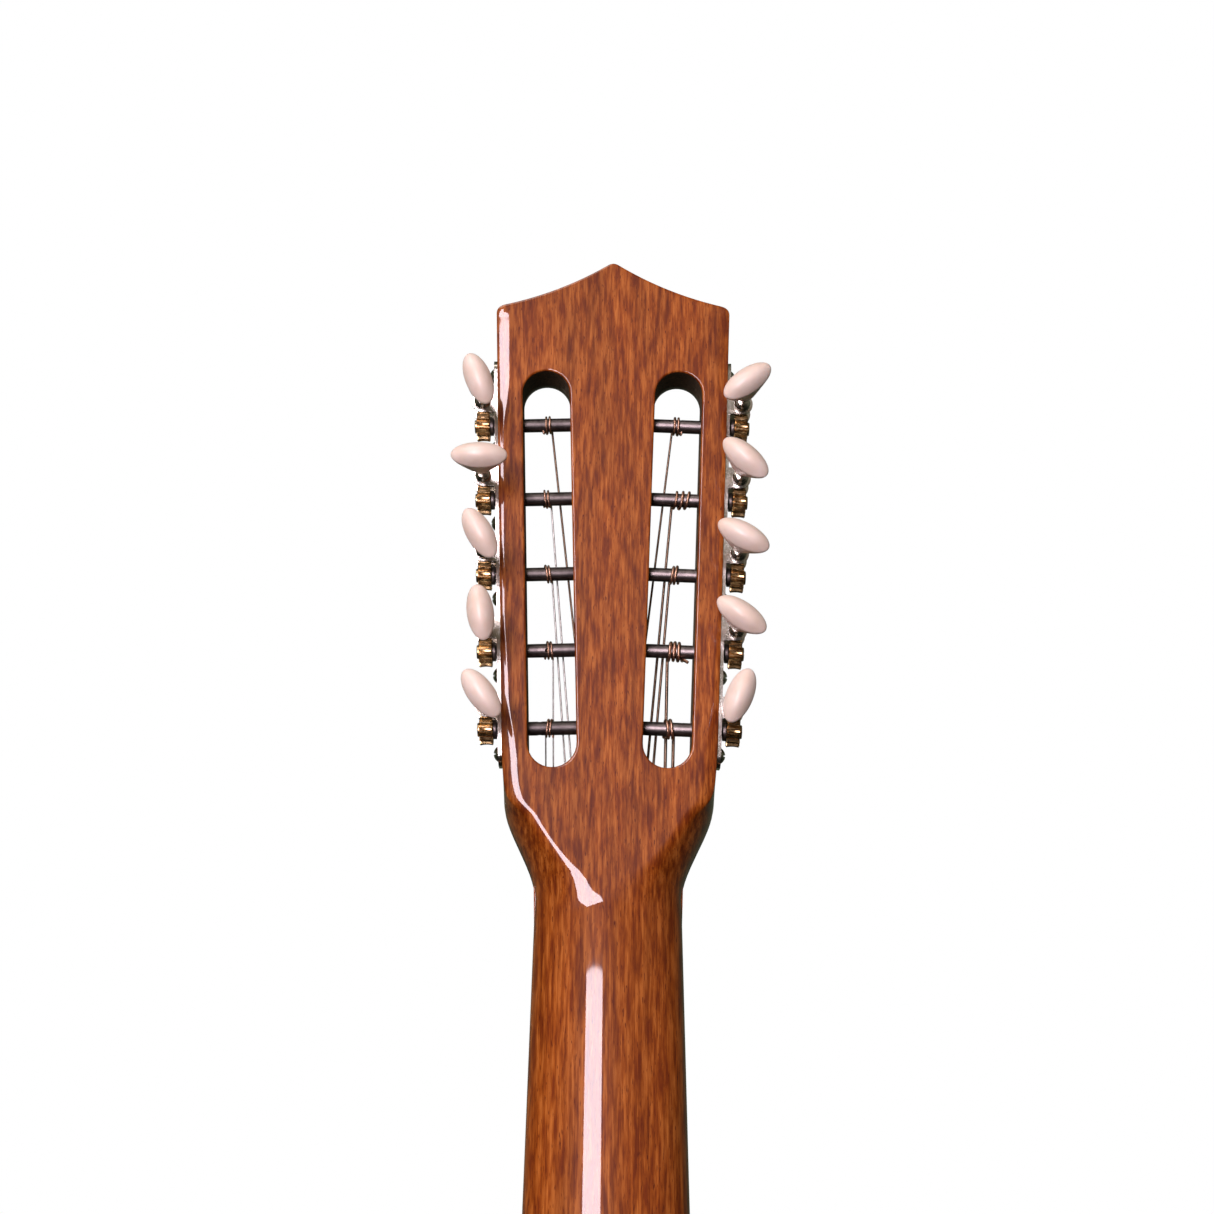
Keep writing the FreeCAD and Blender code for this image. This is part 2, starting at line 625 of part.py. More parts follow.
# ---------------------------------------------------------------- tuning machines, treble side
PLATE_THICKNESS = 1.2
PLATE_HALF_WIDTH = 6.0
PLATE_CORNER = 4.0
LUG_HALF = 3.6
LUG_CENTRE = GEAR_PLANE
PLATE_LOW = SCREW_PLACES[0] - 4.5
PLATE_HIGH = SCREW_PLACES[-1] + 4.5


def tuner_plate():
    low_y, high_y = ROLLER_DEPTH - PLATE_HALF_WIDTH, ROLLER_DEPTH + PLATE_HALF_WIDTH
    strip = box((0, PLATE_THICKNESS), (low_y, high_y), (PLATE_LOW, PLATE_HIGH))
    corners = [e for e in strip.Edges if e.BoundBox.XLength > 1 and e.BoundBox.DiagonalLength < 2]
    strip = strip.makeFillet(PLATE_CORNER, corners)
    lugs = []
    for s in ROLLER_PLACES:
        worm_s = s + WORM_OFFSET
        for y in (low_y, high_y - PLATE_THICKNESS):
            lug = box((0, LUG_CENTRE), (y, y + PLATE_THICKNESS), (worm_s - LUG_HALF, worm_s + LUG_HALF))
            tip = cylinder(LUG_HALF, (LUG_CENTRE, y, worm_s), (LUG_CENTRE, y + PLATE_THICKNESS, worm_s))
            lugs += [lug, tip]
    plate = fused([strip] + lugs)
    holes = []
    for s in ROLLER_PLACES:
        holes.append(cylinder(ROLLER_RADIUS + 0.15, (-1, ROLLER_DEPTH, s), (3, ROLLER_DEPTH, s)))
        worm_s = s + WORM_OFFSET
        holes.append(cylinder(SHAFT_RADIUS + 0.1, (GEAR_PLANE, low_y - 1, worm_s),
                              (GEAR_PLANE, high_y + 1, worm_s)))
    holes += [cylinder(SCREW_SHANK, (-1, ROLLER_DEPTH, s), (3, ROLLER_DEPTH, s)) for s in SCREW_PLACES]
    return placed(plate.cut(holes), SIDE_FRAME)


SCREW_HEAD_RADIUS = 2.7
SCREW_HEAD_HEIGHT = 1.7


def domed_screw(s):
    """A domed, slotted wood screw through the plate at s."""
    base = PLATE_THICKNESS
    ball = (SCREW_HEAD_RADIUS ** 2 + SCREW_HEAD_HEIGHT ** 2) / (2 * SCREW_HEAD_HEIGHT)
    dome = Part.makeSphere(ball, Vector(base + SCREW_HEAD_HEIGHT - ball, ROLLER_DEPTH, s))
    dome = dome.common(box((base, base + 5), (0, 20), (s - 5, s + 5)))
    dome = dome.cut(box((base + SCREW_HEAD_HEIGHT - 0.7, base + 5), (ROLLER_DEPTH - 5, ROLLER_DEPTH + 5),
                        (s - 0.35, s + 0.35)))
    shank = cylinder(SCREW_SHANK, (base, ROLLER_DEPTH, s), (-SCREW_LENGTH, ROLLER_DEPTH, s))
    return placed(fused([dome, shank]), SIDE_FRAME)


GEAR_HALF_WIDTH = 2.2
TOOTH_DEPTH = 1.1
SPINDLE_RADIUS = 1.4      # the roller's end and the screw inside the gear
GEAR_SCREW_RADIUS = 2.3
GEAR_SCREW_HEIGHT = 0.9
GEAR_SCREW_LENGTH = 2.5
COLLAR_RADIUS = 3.2
COLLAR_LENGTH = 1.3
EYE_RADIUS = 0.8


def gear_wheel(s):
    """The worm wheel, its hub and the screw that holds it on the roller's end."""
    points = []
    for tooth in range(GEAR_TEETH):
        centre = 2 * math.pi * (tooth + 0.5) / GEAR_TEETH
        for offset, radius in ((-0.30, GEAR_RADIUS - TOOTH_DEPTH), (-0.14, GEAR_RADIUS), (0.14, GEAR_RADIUS),
                               (0.30, GEAR_RADIUS - TOOTH_DEPTH)):
            angle = centre + offset * 2 * math.pi / GEAR_TEETH
            points.append((GEAR_PLANE - GEAR_HALF_WIDTH, ROLLER_DEPTH + radius * math.sin(angle),
                           s + radius * math.cos(angle)))
    wheel = prism(points, (2 * GEAR_HALF_WIDTH, 0, 0))
    outer = GEAR_PLANE + GEAR_HALF_WIDTH
    spindle = cylinder(SPINDLE_RADIUS, (GEAR_PLANE - GEAR_HALF_WIDTH - 0.1, ROLLER_DEPTH, s),
                       (outer + 0.1, ROLLER_DEPTH, s))
    wheel = wheel.cut(spindle)
    head = cylinder(GEAR_SCREW_RADIUS, (outer, ROLLER_DEPTH, s), (outer + GEAR_SCREW_HEIGHT, ROLLER_DEPTH, s))
    head = head.cut(box((outer + GEAR_SCREW_HEIGHT / 2, outer + 2), (ROLLER_DEPTH - 4, ROLLER_DEPTH + 4),
                        (s - 0.35, s + 0.35)))
    screw = fused([head, cylinder(SPINDLE_RADIUS, (outer - GEAR_SCREW_LENGTH, ROLLER_DEPTH, s),
                                  (outer, ROLLER_DEPTH, s))])
    return wheel, screw


def roller_set(s):
    """Roller, gear and gear screw: the three pieces that turn together across the slot."""
    inner = GEAR_PLANE - GEAR_HALF_WIDTH
    tip = -(SLOT_CENTRE + SLOT_WIDTH / 2 + 5.0)
    roller = fused([
        cylinder(ROLLER_RADIUS, (inner - COLLAR_LENGTH, ROLLER_DEPTH, s), (tip, ROLLER_DEPTH, s)),
        cylinder(COLLAR_RADIUS, (inner - COLLAR_LENGTH, ROLLER_DEPTH, s), (inner, ROLLER_DEPTH, s)),
        cylinder(SPINDLE_RADIUS, (inner, ROLLER_DEPTH, s),
                 (GEAR_PLANE + GEAR_HALF_WIDTH - GEAR_SCREW_LENGTH, ROLLER_DEPTH, s)),
    ])
    eye = cylinder(EYE_RADIUS, (-SLOT_CENTRE, ROLLER_DEPTH - 5, s), (-SLOT_CENTRE, ROLLER_DEPTH + 5, s))
    wheel, screw = gear_wheel(s)
    return [placed(piece, SIDE_FRAME) for piece in (roller.cut(eye), wheel, screw)]


BUTTON_START = BUTTON_CENTRE - BUTTON_LENGTH / 2
FERRULE_LENGTH = 4.5
SHAFT_IN_BUTTON_RADIUS = 1.3
SHAFT_IN_BUTTON = 6.0
# sections of a button: share of its length, then of its greatest width and thickness
BUTTON_STATIONS = ((0.0, 0.456, 0.837), (0.25, 0.717, 0.907), (0.5, 0.924, 0.977),
                   (0.72, 1.0, 1.0), (0.9, 0.859, 0.837), (1.0, 0.522, 0.488))


def worm_shaft(s):
    """Worm, shaft and ferrule, turned in one piece along the head's depth."""
    low, high = ROLLER_DEPTH - PLATE_HALF_WIDTH, ROLLER_DEPTH + PLATE_HALF_WIDTH
    gap = 0.2
    steps = [
        (2.3, low - gap - 1.0, low - gap),
        (SHAFT_RADIUS, low - gap, low + PLATE_THICKNESS + gap),
        (WORM_RADIUS, low + PLATE_THICKNESS + gap, high - PLATE_THICKNESS - gap),
        (SHAFT_RADIUS, high - PLATE_THICKNESS - gap, high + gap),
        (2.4, high + gap, high + gap + 1.4),
        (1.7, high + gap + 1.4, BUTTON_START - FERRULE_LENGTH),
        (2.9, BUTTON_START - FERRULE_LENGTH, BUTTON_START),
        (SHAFT_IN_BUTTON_RADIUS, BUTTON_START, BUTTON_START + SHAFT_IN_BUTTON),
    ]
    pieces = [cylinder(radius, (GEAR_PLANE, a, s + WORM_OFFSET), (GEAR_PLANE, b, s + WORM_OFFSET))
              for radius, a, b in steps]
    return placed(fused(pieces), SIDE_FRAME)


def button(s, angle):
    """An oval bean: widest near its outer end, drawn in towards the ferrule."""
    rings = []
    for share, long_share, thick_share in BUTTON_STATIONS:
        centre = Vector(0, BUTTON_START + share * BUTTON_LENGTH, 0)
        half_long, half_thick = long_share * BUTTON_LONG / 2, thick_share * BUTTON_THICK / 2
        ellipse = Part.Ellipse(centre + Vector(0, 0, half_long), centre + Vector(half_thick, 0, 0), centre)
        rings.append(Part.Wire(ellipse.toShape()))
    bean = Part.makeLoft(rings, True, False)
    bean = bean.cut(cylinder(SHAFT_IN_BUTTON_RADIUS, (0, BUTTON_START - 1, 0),
                             (0, BUTTON_START + SHAFT_IN_BUTTON, 0)))
    turn = Placement(Vector(GEAR_PLANE, 0, s + WORM_OFFSET), Rotation(Vector(0, 1, 0), angle))
    return placed(placed(bean, turn), SIDE_FRAME)


# ---------------------------------------------------------------- strings and what they cross
# which roller each string of a side goes to, from the outer string inwards, and where it lies on it
WINDING_INSET = (14.3, 17.2, 17.2, 17.3, 18.0)


def string_at_nut(number):
    return Vector(string_x(number, NUT_SPAN, PAIR_AT_NUT), STRING_Y_NUT - STRING_RADII[number], NUT_FACE_Z)


def string_at_bridge(number):
    x = string_x(number, BRIDGE_SPAN, PAIR_AT_BRIDGE)
    return Vector(x, STRING_Y_BRIDGE - STRING_RADII[number], BRIDGE_Z)


def string_at_roller(number):
    """The point where the string comes off the front of its roller."""
    treble = number < COURSES
    place = number if treble else 2 * COURSES - 1 - number
    radius = ROLLER_RADIUS + STRING_RADII[number] + 0.03
    start = string_at_nut(number)
    local_x, axis_s = -WINDING_INSET[place], ROLLER_PLACES[place]
    lean = math.atan2(ROLLER_DEPTH - start.y, axis_s)
    local = Vector(local_x, ROLLER_DEPTH - radius * math.cos(lean), axis_s + radius * math.sin(lean))
    point = SIDE_FRAME.multVec(local)
    return point if treble else Vector(-point.x, point.y, point.z)


HOOK_Z = TAIL_Z + 46.0
TAILPIECE_TOP_Y = -4.0
HOOK_SPAN = 44.0
HOOK_PAIR = 4.4
HOOK_HEIGHT = 2.6
HOOK_RADIUS = 0.9
HOOK_HEAD_RADIUS = 1.4


def string_at_hook(number):
    return Vector(string_x(number, HOOK_SPAN, HOOK_PAIR), TAILPIECE_TOP_Y - 1.2, HOOK_Z + 1.6)


def string(number):
    """One string: hook to bridge, bridge to nut, nut to roller."""
    radius = STRING_RADII[number]
    places = (string_at_hook, string_at_bridge, string_at_nut, string_at_roller)
    points = [place(number) for place in places]
    pieces = [cylinder(radius, a, b) for a, b in zip(points, points[1:])]
    pieces += [Part.makeSphere(radius, p) for p in points[1:3]]
    return fused(pieces)


def bridge():
    """A floating bridge: two feet, a low arch between them and a slot for the saddle."""
    half, top = BRIDGE_HALF_LENGTH, -BRIDGE_TOP
    outline = [(-half, 0, 0), (-16, 0, 0), (-10, -2.5, 0), (10, -2.5, 0), (16, 0, 0), (half, 0, 0),
               (half, -3.0, 0), (40, top, 0), (-40, top, 0), (-half, -3.0, 0)]
    wood = prism([(x, y, BRIDGE_Z - BRIDGE_WIDTH / 2) for x, y, _ in outline], (0, 0, BRIDGE_WIDTH))
    return wood.cut(saddle())


def saddle():
    half = BRIDGE_SPAN / 2 + 5
    crest = STRING_Y_BRIDGE + 0.1
    return box((-half, half), (crest, -BRIDGE_TOP + SADDLE_SLOT_DEPTH),
               (BRIDGE_Z - SADDLE_WIDTH / 2, BRIDGE_Z + SADDLE_WIDTH / 2))


TAILPIECE_HALF = 29.0
TAILPIECE_THICKNESS = 1.5
TAILPIECE_DROP = 44.0


def tailpiece():
    """Bent plate: flat on the tail, round the edge, up the top on two feet, with ten hooks."""
    t = TAILPIECE_THICKNESS
    low = TAIL_Z - t
    upright = box((-17, 17), (TAILPIECE_TOP_Y, TAILPIECE_DROP), (low, TAIL_Z))
    deck = box((-TAILPIECE_HALF, TAILPIECE_HALF), (TAILPIECE_TOP_Y, TAILPIECE_TOP_Y + t), (low, HOOK_Z + 5))
    flanks = [prism([(x, TAILPIECE_TOP_Y, low), (x, TAILPIECE_TOP_Y, HOOK_Z + 5), (x, -0.2, HOOK_Z + 1),
                     (x, -0.2, TAIL_Z + 12)], (t, 0, 0)) for x in (-TAILPIECE_HALF, TAILPIECE_HALF - t)]
    waist = [prism([(sign * 17, -20, low - 1), (sign * 17, -20, TAIL_Z + 4),
                    (sign * 30, -20, TAIL_Z + 26), (sign * 40, -20, low - 1)], (0, 60, 0))
             for sign in (1, -1)]
    plate = fused([upright, deck] + flanks)
    plate = plate.cut(waist)
    hooks = []
    for number in range(2 * COURSES):
        place = string_at_hook(number)
        root = (place.x, TAILPIECE_TOP_Y, HOOK_Z)
        neck_end = (place.x, TAILPIECE_TOP_Y - HOOK_HEIGHT, HOOK_Z)
        tip = (place.x, TAILPIECE_TOP_Y - HOOK_HEIGHT - 0.6, HOOK_Z)
        hooks += [cylinder(HOOK_RADIUS, root, neck_end), cylinder(HOOK_HEAD_RADIUS, neck_end, tip)]
    plate = fused([plate] + hooks)
    holes = [cylinder(PIN_SHANK_RADIUS, (0, END_PIN_Y, low - 1), (0, END_PIN_Y, TAIL_Z + 1))]
    holes += [cylinder(TAIL_SCREW_RADIUS, (x, y, low - 1), (x, y, TAIL_Z + 1)) for x, y in TAIL_SCREWS]
    return plate.cut(holes).cut(body_prism(0, 0, DEEP))


def tail_screw(x, y):
    low = TAIL_Z - TAILPIECE_THICKNESS
    head = Part.makeCone(3.0, 2.0, 1.8, Vector(x, y, low), Vector(0, 0, -1))
    head = head.cut(box((x - 4, x + 4), (y - 0.4, y + 0.4), (low - 3, low - 1.1)))
    return fused([head, cylinder(TAIL_SCREW_RADIUS, (x, y, low), (x, y, TAIL_Z + TAIL_SCREW_DEPTH))])


PIN_HEAD_LENGTH = 3.0


def end_pin():
    """Turned pin through the tailpiece into the tail block; the strap goes over its head."""
    low = TAIL_Z - TAILPIECE_THICKNESS
    return fused([
        cylinder(PIN_SHANK_RADIUS, (0, END_PIN_Y, TAIL_Z + 16), (0, END_PIN_Y, low - 1.5)),
        cylinder(6.5, (0, END_PIN_Y, low), (0, END_PIN_Y, low - 1.5)),
        cylinder(4.2, (0, END_PIN_Y, low - 1.5), (0, END_PIN_Y, low - 7.0)),
        cylinder(PIN_HEAD_RADIUS, (0, END_PIN_Y, low - 7.0), (0, END_PIN_Y, low - 7.0 - PIN_HEAD_LENGTH)),
    ])


# ---------------------------------------------------------------- export
def main():
    os.makedirs("parts", exist_ok=True)
    strings = [string(number) for number in range(2 * COURSES)]
    screws = [domed_screw(s) for s in SCREW_PLACES]
    nodes = {
        "neck": neck(),
        "heel_cap": heel_cap(),
        "head_veneer": head_veneer(),
        "fingerboard": fingerboard(),
        "frets": [fret(number) for number in range(1, FRET_COUNT + 1)],
        "nut": nut(),
        "position_dots": position_dots(),
        "truss_rod": truss_rod(),
        "truss_rod_nut": truss_rod_nut(),
        "soundboard": soundboard(),
        "rosette": rosette(),
        "back": back(),
        "side_bass": side_half(-1),
        "side_treble": side_half(1),
        "bindings": bindings(),
        "linings": linings(),
        "neck_block": neck_block(),
        "tail_block": tail_block(),
        "braces": braces(),
        "bridge": bridge(),
        "saddle": saddle(),
        "tailpiece": tailpiece(),
        "tailpiece_screws": [tail_screw(x, y) for x, y in TAIL_SCREWS],
        "end_pin": end_pin(),
        "strings_plain": strings[:WOUND_FROM],
        "strings_wound": strings[WOUND_FROM:],
        "tuner_plate_treble": tuner_plate(),
        "tuner_plate_bass": mirrored(tuner_plate()),
        "tuner_plate_screws": screws + [mirrored(screw) for screw in screws],
    }
    for side in ("treble", "bass"):
        for index, s in enumerate(ROLLER_PLACES):
            name = f"{side}_{index + 1}"
            rollers, worm, bean = roller_set(s), worm_shaft(s), button(s, BUTTON_ANGLE[side][index])
            if side == "bass":
                rollers, worm = [mirrored(piece) for piece in rollers], mirrored(worm)
                bean = mirrored(bean)
            nodes["roller_" + name] = rollers
            nodes["worm_" + name] = worm
            nodes["button_" + name] = bean
    for name, shape in nodes.items():
        if isinstance(shape, list):
            shape = Part.makeCompound(shape)
        shape.exportStep(f"parts/{name}.step")
        solids = shape.Solids
        print(f"{name}: {len(solids)} solids, {shape.Volume:.1f} mm3, valid {shape.isValid()}")


main()
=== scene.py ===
"""The ten-string bouzouki's looks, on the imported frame. Sizes are in millimetres until a mesh is made."""
import json
import math

import bmesh
import bpy
from mathutils import Matrix, Vector

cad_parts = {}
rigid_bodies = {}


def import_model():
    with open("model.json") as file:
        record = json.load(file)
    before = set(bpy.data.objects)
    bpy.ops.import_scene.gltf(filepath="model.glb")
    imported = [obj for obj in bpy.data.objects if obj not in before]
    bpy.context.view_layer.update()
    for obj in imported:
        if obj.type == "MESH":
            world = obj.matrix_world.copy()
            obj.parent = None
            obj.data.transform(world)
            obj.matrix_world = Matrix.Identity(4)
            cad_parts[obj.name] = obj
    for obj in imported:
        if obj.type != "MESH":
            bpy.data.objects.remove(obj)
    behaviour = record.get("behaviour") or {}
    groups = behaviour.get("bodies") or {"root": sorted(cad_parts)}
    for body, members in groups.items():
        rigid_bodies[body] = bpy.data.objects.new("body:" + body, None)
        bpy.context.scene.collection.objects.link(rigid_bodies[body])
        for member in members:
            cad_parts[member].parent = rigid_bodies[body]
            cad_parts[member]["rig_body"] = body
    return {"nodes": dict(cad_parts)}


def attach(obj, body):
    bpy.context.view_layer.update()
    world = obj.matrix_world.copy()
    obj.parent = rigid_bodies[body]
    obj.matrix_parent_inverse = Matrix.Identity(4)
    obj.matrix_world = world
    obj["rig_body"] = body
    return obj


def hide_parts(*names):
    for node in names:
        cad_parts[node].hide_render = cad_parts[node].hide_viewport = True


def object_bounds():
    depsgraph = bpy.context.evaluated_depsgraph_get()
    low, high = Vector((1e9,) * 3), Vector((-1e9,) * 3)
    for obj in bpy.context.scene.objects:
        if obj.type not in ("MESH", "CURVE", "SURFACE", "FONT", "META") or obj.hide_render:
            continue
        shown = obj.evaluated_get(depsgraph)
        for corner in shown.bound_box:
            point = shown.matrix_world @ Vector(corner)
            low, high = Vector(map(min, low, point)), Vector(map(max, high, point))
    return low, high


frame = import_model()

CAD_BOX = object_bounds()
MM = 0.001
ROOT = "instrument"

# ---------------------------------------------------------------- sizes shared with the frame
LEAN = math.radians(12.0)
SIDE_SLOPE = 0.031
SIDE_AT_NUT = 33.9
THICKNESS = 18.0
VENEER = 2.5
CORNER_S, APEX_S, CROWN_SAG = 196.7, 213.2, 2.0
SHOULDER_LOW, SHOULDER_S = -5.0, 27.5
SLOT_CENTRE, SLOT_WIDTH, SLOT_LOW, SLOT_HIGH = 16.5, 16.0, 37.3, 173.0
HALF_NUT, SPREAD = 24.0, 0.0172
BODY_TOP = -5 - 650 * (1 - 2 ** (-15 / 12))
HEEL_START, HEEL_DEPTH, HEEL_FLOOR = BODY_TOP + 78.0, 92.0, 73.2
GEAR_OUT, GEAR_HALF, WORM_UP = 5.2, 2.2, 7.0

HEAD = Matrix.Rotation(-LEAN, 4, "X")
SIDE = HEAD @ Matrix.Translation((SIDE_AT_NUT, 0, 0)) @ Matrix.Rotation(math.atan(SIDE_SLOPE), 4, "Y")
MIRROR = Matrix.Diagonal((-1, 1, 1, 1))


# ---------------------------------------------------------------- mesh helpers
def finish_mesh(name, bm, material, sharp=38.0, body=ROOT, replaced=()):
    """Turns a bmesh in millimetres into a smooth-shaded piece that rides on a body."""
    bmesh.ops.recalc_face_normals(bm, faces=bm.faces)
    bmesh.ops.scale(bm, vec=(MM, MM, MM), verts=bm.verts)
    mesh = bpy.data.meshes.new(name)
    bm.to_mesh(mesh)
    bm.free()
    mesh.shade_smooth()
    mesh.set_sharp_from_angle(angle=math.radians(sharp))
    piece = bpy.data.objects.new(name, mesh)
    bpy.context.scene.collection.objects.link(piece)
    mesh.materials.append(material)
    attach(piece, body)
    if replaced:
        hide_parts(*replaced)
    return piece


def grid(bm, rows, closed=False):
    """Quads over rows of points, each row a ring if closed. Returns the rows of vertices."""
    verts = [[bm.verts.new(p) for p in row] for row in rows]
    across = len(verts[0]) if closed else len(verts[0]) - 1
    for a, b in zip(verts, verts[1:]):
        for j in range(across):
            k = (j + 1) % len(a)
            bm.faces.new((a[j], a[k], b[k], b[j]))
    return verts


def tube(bm, rows):
    """A closed skin over rings of points, capped at both ends."""
    verts = grid(bm, rows, closed=True)
    bm.faces.new(verts[0])
    bm.faces.new(verts[-1])


def turns_of(steps):
    """Even angles round a circle."""
    return [2 * math.pi * k / steps for k in range(steps)]


def spun(radius, turn, height):
    """A point at an angle round Z."""
    return Vector((radius * math.cos(turn), radius * math.sin(turn), height))


def lathe(bm, profile, axis, steps=32):
    """A solid of revolution about the axis frame's Z, from (height, radius) pairs."""
    tube(bm, [[axis @ spun(radius, turn, height) for turn in turns_of(steps)] for height, radius in profile])


def shares(count):
    """Even shares of a whole, from 0 to 1."""
    return [k / count for k in range(count + 1)]


def bent(start, corner, end, count):
    """Points on a smooth bend from start to end, drawn towards the corner."""
    return [start * (1 - t) ** 2 + corner * (2 * t * (1 - t)) + end * t * t for t in shares(count)]


def rounded(profile, radius, steps=4):
    """Rounds the corners of an open (height, radius) polyline."""
    points = [Vector(p) for p in profile]
    out = [points[0]]
    for before, corner, after in zip(points, points[1:], points[2:]):
        a, b = before - corner, after - corner
        reach = min(radius, a.length * 0.45, b.length * 0.45)
        out += bent(corner + a.normalized() * reach, corner, corner + b.normalized() * reach, steps)
    out.append(points[-1])
    return [tuple(p) for p in out]


def prism(points, along, matrix):
    """A closed bmesh: a flat outline pushed along a vector."""
    bm = bmesh.new()
    near = [bm.verts.new(matrix @ p) for p in points]
    far = [bm.verts.new(matrix @ (p + along)) for p in points]
    bm.faces.new(near)
    bm.faces.new(list(reversed(far)))
    for k in range(len(points)):
        j = (k + 1) % len(points)
        bm.faces.new((near[k], near[j], far[j], far[k]))
    return bm


def smooth_step(share):
    """A soft start and a soft stop between 0 and 1."""
    share = min(1.0, max(0.0, share))
    return share * share * (3 - 2 * share)


# ---------------------------------------------------------------- neck and head
NECK_DEPTH, NECK_GROWTH = 16.7, 0.0055
FLARE_START, FLARE_RUN, FLARE_SLOPE = -14.4, 9.0, 0.51
SWELL_FOOT = FLARE_START - 4      # below this the neck is plainly round
RIDGE_SOFT = 2.4                  # softness of the ridge between the flat back of the head and the round neck
RIDGE_LEAST = 17.7                # the ridge's place is found as if the neck were at least this deep
ROUND_LEAST = 19.0                # depth of the round that the head's sides follow near the shoulders
ROUND_TOP, FLAT_SIDE = 40.0, 4000.0    # from here up the round is so deep that the sides are flat
# the buffed edge of the head's back: place along the head, how deep and how wide
EDGE = ((10, 1.7, 5.4), (40, 1.5, 5.0), (62, 0.7, 2.6), (90, 0.5, 1.6), (150, 0.45, 1.8), (172, 0.62, 4.4),
        (193, 0.62, 4.6), (197, 0.5, 1.2), (214, 0.45, 0.8))
SLOT_RIM = 0.7
WALL_COLS, EDGE_COLS, MIDDLE_COLS = 14, 12, 14


def neck_half(z):
    """Half the neck's width."""
    return HALF_NUT - SPREAD * z


def neck_depth(z):
    """Depth of the neck behind the fingerboard, growing into the heel."""
    depth = NECK_DEPTH - NECK_GROWTH * z
    if z < HEEL_START:
        share = min(1.0, ((HEEL_START - z) / (HEEL_START - BODY_TOP)) ** 1.6)
        depth += (HEEL_DEPTH - depth) * smooth_step(share)
    return depth


def flare_depth(z):
    """Depth of the swelling that carries the round neck out to the head's shoulders."""
    run = z - FLARE_START
    if run <= 0:
        return neck_depth(z)
    rise = run * run / (2 * FLARE_RUN) if run < FLARE_RUN else run - FLARE_RUN / 2
    depth = NECK_DEPTH + FLARE_SLOPE * rise
    if z > 18:
        depth += 0.30 * (z - 18) ** 2
    return depth


def head_half(s):
    """Half the head's width, with the S-shaped shoulders down to the neck."""
    straight = SIDE_AT_NUT + SIDE_SLOPE * s
    share = (s - SHOULDER_LOW) / (SHOULDER_S - SHOULDER_LOW)
    return HALF_NUT + (straight - HALF_NUT) * smooth_step(share)


def soft_min(a, b, k):
    """The smaller of two numbers, with the corner between them rounded over k."""
    h = max(k - abs(a - b), 0.0) / k
    return min(a, b) - h * h * k / 4


def swelling_row(z, middle=True):
    """One level section of the neck's half, from its front edge to the centre line."""
    front = max(0.0, z) * math.tan(LEAN)
    half = neck_half(z) + head_half(z) - HALF_NUT if z < 0 else head_half(z / math.cos(LEAN))
    flat = THICKNESS / math.cos(LEAN) + min(0.0, max(z, SWELL_FOOT)) * math.tan(LEAN)
    deep, shallow = flare_depth(z), neck_depth(z) if z < 2 else 0.0
    start = 0.0 if z <= 0 else VENEER / math.cos(LEAN)
    wedge = max(deep, RIDGE_LEAST)
    low = math.asin(min(0.86, (flat - RIDGE_SOFT) / wedge))
    high = math.asin(min(0.985, (flat + RIDGE_SOFT) / wedge))
    first = math.asin(start / deep)
    angles = [first + (low - first) * k / WALL_COLS for k in range(WALL_COLS)]
    angles += [low + (high - low) * k / EDGE_COLS for k in range(EDGE_COLS + 1)]
    if middle:
        angles += [high + (math.pi / 2 - high) * k / MIDDLE_COLS for k in range(1, MIDDLE_COLS + 1)]
    points = []
    for angle in angles:
        x = half * math.cos(angle)
        y = deep * math.sin(angle)
        if z > SWELL_FOOT:
            y = soft_min(y, flat, RIDGE_SOFT)
            y = -soft_min(-y, -shallow * math.sin(angle), max(0.001, min(0.5, deep - shallow)))
        points.append(Vector((x, min(front + y, HEEL_FLOOR), z)))
    if middle and z >= SWELL_FOOT:
        points[-1].x = 0.0
    return points


def edge_shape(s):
    """How deep and how wide the buffed edge is at s."""
    for (a, drop_a, reach_a), (b, drop_b, reach_b) in zip(EDGE, EDGE[1:]):
        if s <= b:
            share = smooth_step((s - a) / (b - a))
            return drop_a + (drop_b - drop_a) * share, reach_a + (reach_b - reach_a) * share
    return EDGE[-1][1:]


def wall_row(s, x, inward, shear, deep):
    """One section at right angles to the head's outline, from the veneer to the flat back.

    With shear 1 it lies level and with 0 square to the head. deep is the depth of the round at its side.
    """
    out = []
    drop, reach = edge_shape(s)
    top = THICKNESS - drop

    def inset(depth):
        return head_half(s) * (1 - math.sqrt(max(0.0, 1 - (depth / deep) ** 2)))

    def place(q, depth):
        return HEAD @ Vector((x + inward[0] * q, depth, s + inward[1] * q + shear * depth * math.tan(LEAN)))

    for k in range(WALL_COLS):
        depth = VENEER + (top - VENEER) * k / WALL_COLS
        out.append(place(inset(depth), depth))
    slope = (inset(top + 0.01) - inset(top - 0.01)) / 0.02
    start = inset(top)
    corners = [Vector(p) for p in (
        (start, top), (start + slope * drop * 0.4, THICKNESS - drop * 0.6),
        (start + reach * 0.16, THICKNESS - drop * 0.46),
        (start + reach * 0.5, THICKNESS), (start + reach, THICKNESS))]
    for t in shares(EDGE_COLS):
        line = corners
        while len(line) > 1:
            line = [a.lerp(b, t) for a, b in zip(line, line[1:])]
        out.append(place(line[0].x, line[0].y))
    return out


